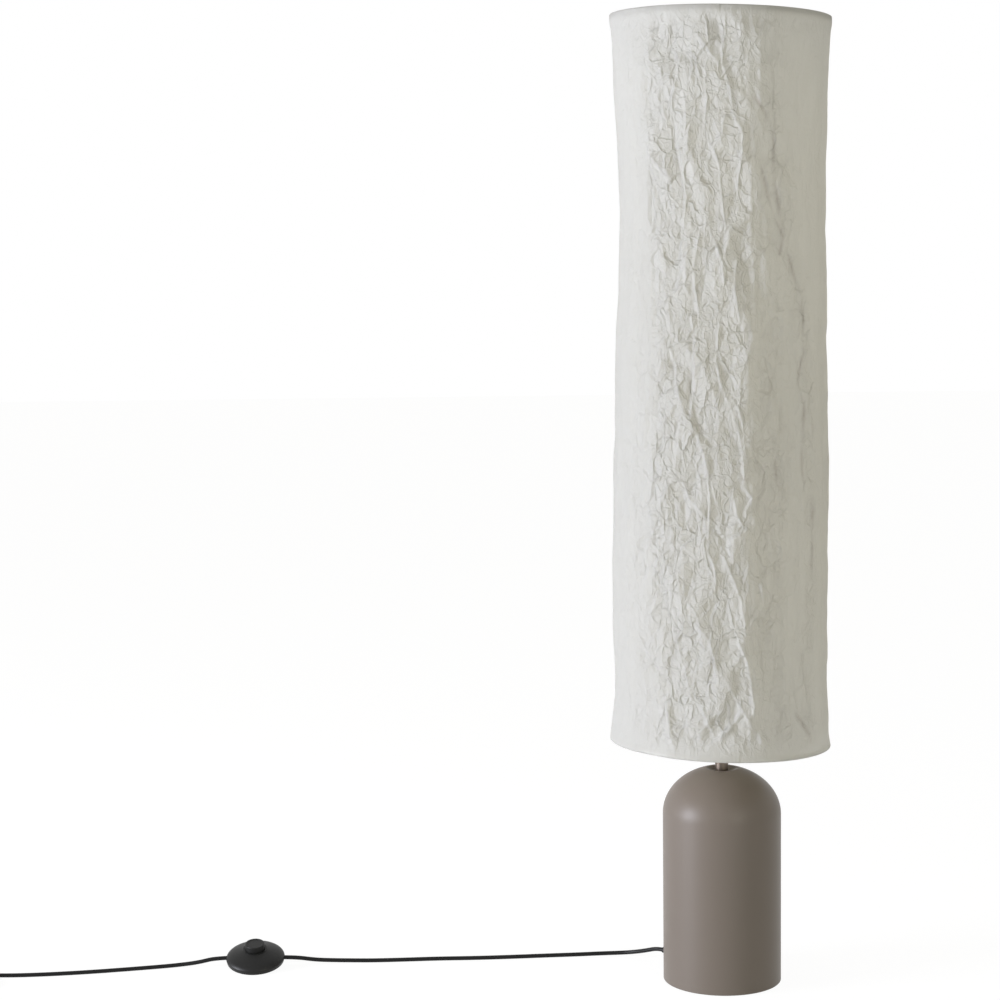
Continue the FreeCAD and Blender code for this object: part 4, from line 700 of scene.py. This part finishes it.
def foldField(lines, shape, angles, heights):
    # sharp folds: each falls off exponentially from its line, faster on one side, and the stronger fold wins
    field = np.zeros((len(heights), len(angles)))
    reach = 5 * max(shape["left"], shape["right"])
    for line in lines:
        across, up = line[:, 0] * shade["round"], line[:, 1]
        j0, j1 = np.searchsorted(angles * shade["round"], (across.min() - reach, across.max() + reach))
        i0, i1 = np.searchsorted(heights, (up.min() - reach, up.max() + reach))
        if i0 == i1 or j0 == j1:
            continue
        x = angles[None, j0:j1] * shade["round"]
        y = heights[i0:i1, None]
        near = np.full((i1 - i0, j1 - j0), 1e9)
        side = np.ones(near.shape)
        for k in range(len(line) - 1):
            dx, dy = across[k + 1] - across[k], up[k + 1] - up[k]
            t = np.clip(((x - across[k]) * dx + (y - up[k]) * dy) / (dx * dx + dy * dy), 0, 1)
            offX, offY = x - across[k] - t * dx, y - up[k] - t * dy
            distance = np.hypot(offX, offY)
            closer = distance < near
            side = np.where(closer, np.sign(offX), side)
            near = np.where(closer, distance, near)
        width = np.where(side > 0, shape["right"], shape["left"])
        swollen = swell["least"] + swell["more"] * np.sin(swell["alongRate"] * y + across[0])
        part = shape["height"] * swollen * np.exp(-near / width)
        window = field[i0:i1, j0:j1]
        stronger = np.abs(part) > np.abs(window)
        window[stronger] = part[stronger]
    return field


def chord(angle, fromAngle, fromRadius, toAngle, toRadius):
    # radius of the straight line between two points of a section
    whole = fromRadius * toRadius * np.sin(toAngle - fromAngle)
    return whole / (fromRadius * np.sin(angle - fromAngle) + toRadius * np.sin(toAngle - angle))


def softLower(first, second, soft):
    # the lower of two values, with the corner between them rounded
    near = np.maximum(soft - np.abs(first - second), 0) / soft
    return np.minimum(first, second) - near * near * soft / 4


traced = {name: onShade(line)[::-1] for name, line in longFolds.items()}
crestLines = [onShade(line) for group in crests.values() for line in group]
creaseLines = [onShade(line) for group in creases.values() for line in group]
grooveLines = [onShade(line) for group in grooves.values() for line in group]
crestLines += [line * np.array(backFolds["mirror"]) + np.array(backFolds["turn"]) for line in crestLines]
creaseLines += [line * np.array(backFolds["mirror"]) + np.array(backFolds["turn"]) for line in creaseLines]
nets = [facetNet(net) for net in facets]


def evenRadius(angle, heights):
    # a cone between two rims, less its smoothed waist, plus what the outline's two sides add
    up = heights / shade["height"]
    shares = np.array(shade["waistShares"])
    smooth = shade["waistSmoothing"]
    window = 2 * smooth + 1
    waist = np.interp(up, shares[:, 0], shares[:, 1])
    waist = np.convolve(np.pad(waist, smooth, mode="edge"), np.ones(window) / window, mode="valid")
    topFade = [shade["height"] - gap for gap in shade["waistFadeTop"]]
    waist = waist * smoothStep(heights, *shade["waistFadeLow"]) * (1 - smoothStep(heights, *topFade))
    even = shade["bottomRadius"] + (shade["topRadius"] - shade["bottomRadius"]) * up - shade["waist"] * waist
    leftEdge, rightEdge = (
        np.interp(up, *np.array(sides[name]).T)[:, None] * smoothStep(toward * np.sin(angle), *edges["side"])
        for name, toward in (("left", -1), ("right", 1)))
    return even[:, None] + leftEdge + rightEdge


def facedRadius(angle, up, even, free, lines):
    # three long folds with two nearly flat faces between them, each partly the tube and partly a chord of it
    stand = {name: height * free for name, height in section["stand"].items()}
    faces = []
    for start, end, flat in section["faces"]:
        startRadius, endRadius = even + stand[start] / flat, even + stand[end] / flat
        face = chord(angle, lines[start], startRadius, lines[end], endRadius)
        faces.append(even + flat * free * (face - even))
    leftPlane, rightPlane = faces
    beforeMiddle = angle < lines["middle"]
    onRight = (angle >= lines["middle"]) & (angle < lines["right"])
    pastRight = np.exp(-np.abs(angle - lines["right"]) / section["fade"])
    beforeLeft = np.exp(-np.maximum(lines["left"] - angle, 0) / section["fade"])
    outside = stand["right"] * pastRight * (angle >= lines["right"])
    outside = outside + stand["left"] * beforeLeft * beforeMiddle
    outside = outside + section["rise"] * np.maximum(angle - lines["left"], 0) * beforeMiddle
    # below the middle of the shade the right face is hollow next to the middle fold
    across = np.clip((angle - lines["middle"]) / (lines["right"] - lines["middle"]), 0, 1)
    lower = (1 - smoothStep(up, *section["dipTop"]))[:, None] * free
    rightPlane = rightPlane - section["dip"] * lower * np.sin(np.pi * across ** section["dipShape"]) ** 2
    leftPart = softLower(even + outside, leftPlane, section["softness"])
    nearLeft = (lines["left"] - angle < section["leftReach"]) & beforeMiddle
    radius = np.where(nearLeft, leftPart, even + outside)
    radius = np.where(onRight, rightPlane, radius)
    nearMiddle = np.abs(angle - lines["middle"]) < section["middleReach"]
    return np.where(nearMiddle, softLower(leftPlane, rightPlane, section["softness"]), radius)


def crumpleShares(angle, up, free, lines):
    # the paper is crumpled between the left and the middle fold, less beside them, and again at the back
    gap, past, groove = ((angle - lines[name]) * shade["round"] for name in ("left", "middle", "right"))
    low = (1 - smoothStep(up, *crumpled["lower"]))[:, None]
    band = smoothStep(gap + crumpled["bandShift"] * low, *crumpled["bandLeft"])
    band = band * (1 - smoothStep(past, *crumpled["bandMiddle"]))
    beside = (crumpled["beside"][0] + crumpled["beside"][1] * low) * smoothStep(past, *crumpled["besideFrom"])
    beside = beside * (1 - smoothStep(past, *crumpled["besideTo"]))
    wisps = (crumpled["wisps"][0] + crumpled["wisps"][1] * low) * smoothStep(angle, *crumpled["wispsFrom"])
    wisps = wisps * (1 - smoothStep(gap, *crumpled["wispsTo"]))
    besideGroove = crumpled["groove"] * np.exp(-(groove / crumpled["grooveWidth"]) ** 2)
    besideGroove = besideGroove * (1 - smoothStep(up, *crumpled["grooveTop"]))[:, None]
    backBand = smoothStep(np.abs(angle), *crumpled["back"])
    share = np.maximum.reduce([band, beside, wisps, besideGroove, backBand])
    share = share + crumpled["all"] + crumpled["right"] * smoothStep(past, *crumpled["rightFrom"])
    return np.clip(share, 0, crumpled["most"]) * free, band


def ripples(angle, heights, band):
    # long soft waves around the tube, and narrow upright streaks that are calmer where the paper is crumpled
    around, turn, climb = waves["swayAround"]
    upRate, upTurn = waves["swayUp"]
    tall = heights[:, None]
    sway = waves["sway"] * np.sin(around * angle + turn + climb * tall) * np.sin(upRate * tall + upTurn)
    drift = sum(amount * np.sin(rate * tall + start) for amount, rate, start in waves["drift"])
    streaks = sum(amount * np.sin(count * angle + share * drift) for amount, count, share in waves["streaks"])
    return sway, streaks * (1 - waves["calm"] * band)


def paintedRimShade(up, heights):
    # how much painted shade lies on the paper near the rims, more of it towards the top and in a narrow band
    # at the top edge, where it also holds back the light let through: it fades exponentially away from the
    # nearer rim
    rim = np.minimum(heights, shade["height"] - heights)
    upper = smoothStep(up, *rimShading["upper"])
    topEdgeShade = rimShading["fold"] * upper * (1 - smoothStep(rim, *rimShading["foldWidth"]))
    return (rimShading["least"] + rimShading["more"] * upper) * np.exp(-rim / rimShading["fade"]) + topEdgeShade


def shadeSurface(angles, heights, thin=0.0):
    # a grid of angles from the front in radians and heights above the lower rim in mm, whose radius is the
    # faced tube plus relief, folds and waves: points in metres, how crumpled each is, and how much brown
    # painted shade lies in its grooves and painted shade near its rims
    angle = np.where(angles > np.pi, angles - 2 * np.pi, angles)
    angle = np.broadcast_to(angle, (len(heights), len(angles)))
    up = heights / shade["height"]
    free = (smoothStep(up, *edges["freeLow"]) * (1 - smoothStep(up, *edges["freeHigh"])))[:, None]
    lines = {name: np.interp(heights, line[:, 1], line[:, 0])[:, None] for name, line in traced.items()}
    crumple, band = crumpleShares(angle, up, free, lines)
    relief = sum(drape(net, angles, heights) for net in nets) * crumple
    raised = foldField(crestLines, foldShapes["crests"], angles, heights)
    pressed = foldField(creaseLines, foldShapes["creases"], angles, heights)
    sunk = foldField(grooveLines, foldShapes["grooves"], angles, heights)
    sway, streaks = ripples(angle, heights, band)
    radius = facedRadius(angle, up, evenRadius(angle, heights), free, lines)
    radius = radius + relief + (raised + pressed + sunk + sway + streaks) * free - thin
    z = shade["bottom"] + heights[:, None] + 0 * angle
    points = np.stack([radius * np.sin(angle), -radius * np.cos(angle), z], -1) * mm
    # brown painted shade in the grooves, growing with their depth
    worn = np.clip(sunk / foldShapes["grooves"]["height"] * grooveShading["gain"] - grooveShading["least"], 0, 1)
    hem = paintedRimShade(up, heights)[:, None] + 0 * angle
    return leaned(points), {"crumple": crumple, "worn": worn, "hem": hem}


# the darker rim colour here is painted shade near the rims
paperLook = {
    # the brown groove colour here is painted shade in the grooves
    "dim": (0.645, 0.655, 0.65), "bright": (0.705, 0.715, 0.71), "worn": (0.42, 0.35, 0.29),
    "hem": (0.48, 0.48, 0.465), "grooveShadeShare": 0.5, "roughness": 0.80, "cloudGloss": 0.1, "specular": 0.2,
    "glow": (0.84, 0.825, 0.775, 1), "paperThrough": 0.54, "liningThrough": 0.97,
    "rimShadeDark": 0.3, "grooveShadeDark": 0.5,
}
paperGrain = {  # scales are for each metre, and heights of the relief are in metres
    "cells": [
        {"scale": 50.0, "tilt": 0.42, "sharp": 18.0, "rise": 0.0006},
        {"scale": 105.0, "tilt": 0.37, "sharp": 13.0, "rise": 0.00047},
        {"scale": 210.0, "tilt": 0.24, "sharp": 9.0, "rise": 0.00026},
    ],
    "squash": 0.68, "drift": 0.026, "driftScale": 30.0, "edgeEase": 6.0, "smallScale": 230.0, "small": 0.07,
    "crumpled": 0.85, "smooth": 0.15, "smallEverywhere": 0.5, "fibreStretch": 0.06, "fibreScale": 480.0,
    "fibre": 0.0005, "grainScale": 2400.0, "grain": 0.00003, "cloudStretch": 0.35, "cloudScale": 16.0,
}


def crumpledCells(g, shifted, kind):
    # flat facets tilted at random, which meet level at their edges, with a thin raised line between them
    chance = g.add("TexVoronoi", {"feature": "F1"}, out="Color", Vector=shifted, Scale=kind["scale"])
    slope = g.add("VectorMath", {"operation": "SUBTRACT"}, chance, (0.5, 0.5, 0.5))
    offset = g.add("VectorMath", {"operation": "SUBTRACT"}, shifted, chance.beside("Position"))
    facet = g.add("VectorMath", {"operation": "DOT_PRODUCT"}, slope, offset, out="Value")
    edge = g.add("TexVoronoi", {"feature": "DISTANCE_TO_EDGE"}, Vector=shifted, Scale=kind["scale"])
    inner = (edge * paperGrain["edgeEase"]).clip()
    return facet * inner * kind["tilt"] + (1 - edge * kind["sharp"]).clip() * kind["rise"]


def paperMaterial(name, through):
    # paper that lets light through: facets of three sizes, smaller dents, upright fibres and a fine grain
    look, grain = paperLook, paperGrain
    g = Graph(name)
    worn, crease, hem = (g.attribute(title) for title in ("worn", "crumple", "hem"))
    point = g.objectPoint((1, 1, grain["squash"]))
    drift = g.add("TexNoise", {}, out="Color", Vector=point, Scale=grain["driftScale"], Detail=3.0)
    shifted = g.add("VectorMath", {"operation": "MULTIPLY_ADD"}, drift, (grain["drift"],) * 3, point)
    cells = sum(crumpledCells(g, shifted, kind) for kind in grain["cells"])
    dents = g.add("TexVoronoi", {"feature": "F1", "distance": "MANHATTAN"}, Vector=shifted,
                  Scale=grain["smallScale"])
    small = dents * (grain["small"] / grain["smallScale"])
    fibre = g.noise(g.objectPoint((1, 1, grain["fibreStretch"])), grain["fibreScale"], detail=4.0, rough=0.6)
    fine = g.noise(g.objectPoint(), grain["grainScale"], detail=2.0)
    height = (cells + small) * (crease * grain["crumpled"] + grain["smooth"])
    height = height + small * grain["smallEverywhere"] + fibre * grain["fibre"] + fine * grain["grain"]
    cloud = g.noise(g.objectPoint((1, 1, grain["cloudStretch"])), grain["cloudScale"], detail=5.0, rough=0.6)
    # painted shade near the rims darkens the sheet's tone
    sheetTone = g.mixColour(hem, g.mixColour(cloud, look["dim"], look["bright"]), look["hem"])
    g.finish(
        # brown painted shade in the grooves over the sheet's tone
        Base_Color=g.mixColour(worn * look["grooveShadeShare"], sheetTone, look["worn"]),
        Roughness=look["roughness"] + cloud * look["cloudGloss"],
        Normal=g.bump(height, 1.0),
        Specular_IOR_Level=look["specular"],
    )
    glowing = g.add("BsdfTranslucent", {}, look["glow"])
    # painted shade near the rims and brown painted shade in the grooves also let less light through the paper
    return g.blendShader(through * (1 - look["rimShadeDark"] * hem) * (1 - look["grooveShadeDark"] * worn), glowing)


def spread(*stretches):
    # angles of the columns: each stretch runs from one angle to the next in steps of about so many mm
    parts = []
    for start, end, step in stretches:
        count = max(2, round(math.radians(end - start) * shade["round"] / step))
        parts.append(np.radians(np.linspace(start, end, count, endpoint=False)))
    return np.concatenate([*parts, [math.radians(stretches[-1][1])]])


grid = {  # columns from one angle in degrees to the next, in steps of so many mm, and rows
    "front": [(-97, -50, 5.5), (-50, 17, 0.9), (17, 45, 1.9), (45, 97, 4.5)], "back": [(97, 263, 2.3)],
    "rows": 398, "inside": [(-97, 263, 3.2)], "insideRows": 240, "insideGap": 0.5, "insideEase": (4, 30),
}
paper = paperMaterial("crumpledPaper", paperLook["paperThrough"])
paperLining = paperMaterial("paperLining", paperLook["liningThrough"])


def outerSheet(angles, heights):
    # the outer side of the paper, whose first and last row carry the rims' thickness
    points, traits = shadeSurface(angles, heights)
    rims = shadeSurface(angles, heights[[0, -1]], shade["thickness"])[0]
    traits = {title: np.concatenate([values[:1], values, values[-1:]]) for title, values in traits.items()}
    return np.concatenate([rims[:1], points, rims[-1:]]), traits


def innerSheet(angles, heights):
    # the inner side, a little further in between the rims, its rows turned round so that it faces the axis
    points, traits = shadeSurface(angles, heights, shade["thickness"])
    near, deep = grid["insideEase"]
    settle = smoothStep(heights, near, deep)
    settle = settle * (1 - smoothStep(heights, shade["height"] - deep, shade["height"] - near))
    points[..., :2] *= (1 - grid["insideGap"] / shade["round"] * settle)[:, None, None]
    return points[::-1], {title: values[::-1] for title, values in traits.items()}


def paperSheet(name, side, stretches, rows, look, replaced=()):
    # one sheet of the shade, with how crumpled it is and how much painted shade it has in its grooves and
    # near its rims as attributes of its points
    angles = spread(*stretches)
    points, traits = side(angles, np.linspace(0, shade["height"], rows))
    sheet = place(makeMesh(name, points, gridFaces(len(points), len(angles)), look), replaced)
    for title, values in traits.items():
        attribute = sheet.data.attributes.new(title, "FLOAT", "POINT")
        attribute.data.foreach_set("value", values.ravel().astype(np.float32))
    return sheet


paperSheet("paperFront", outerSheet, grid["front"], grid["rows"], paper, ["shade_paper"])
paperSheet("paperBack", outerSheet, grid["back"], grid["rows"], paper)
paperSheet("paperInside", innerSheet, grid["inside"], grid["insideRows"], paperLining)


print("stage: finish")
tuple(c * mm for c in plugRoute[0])
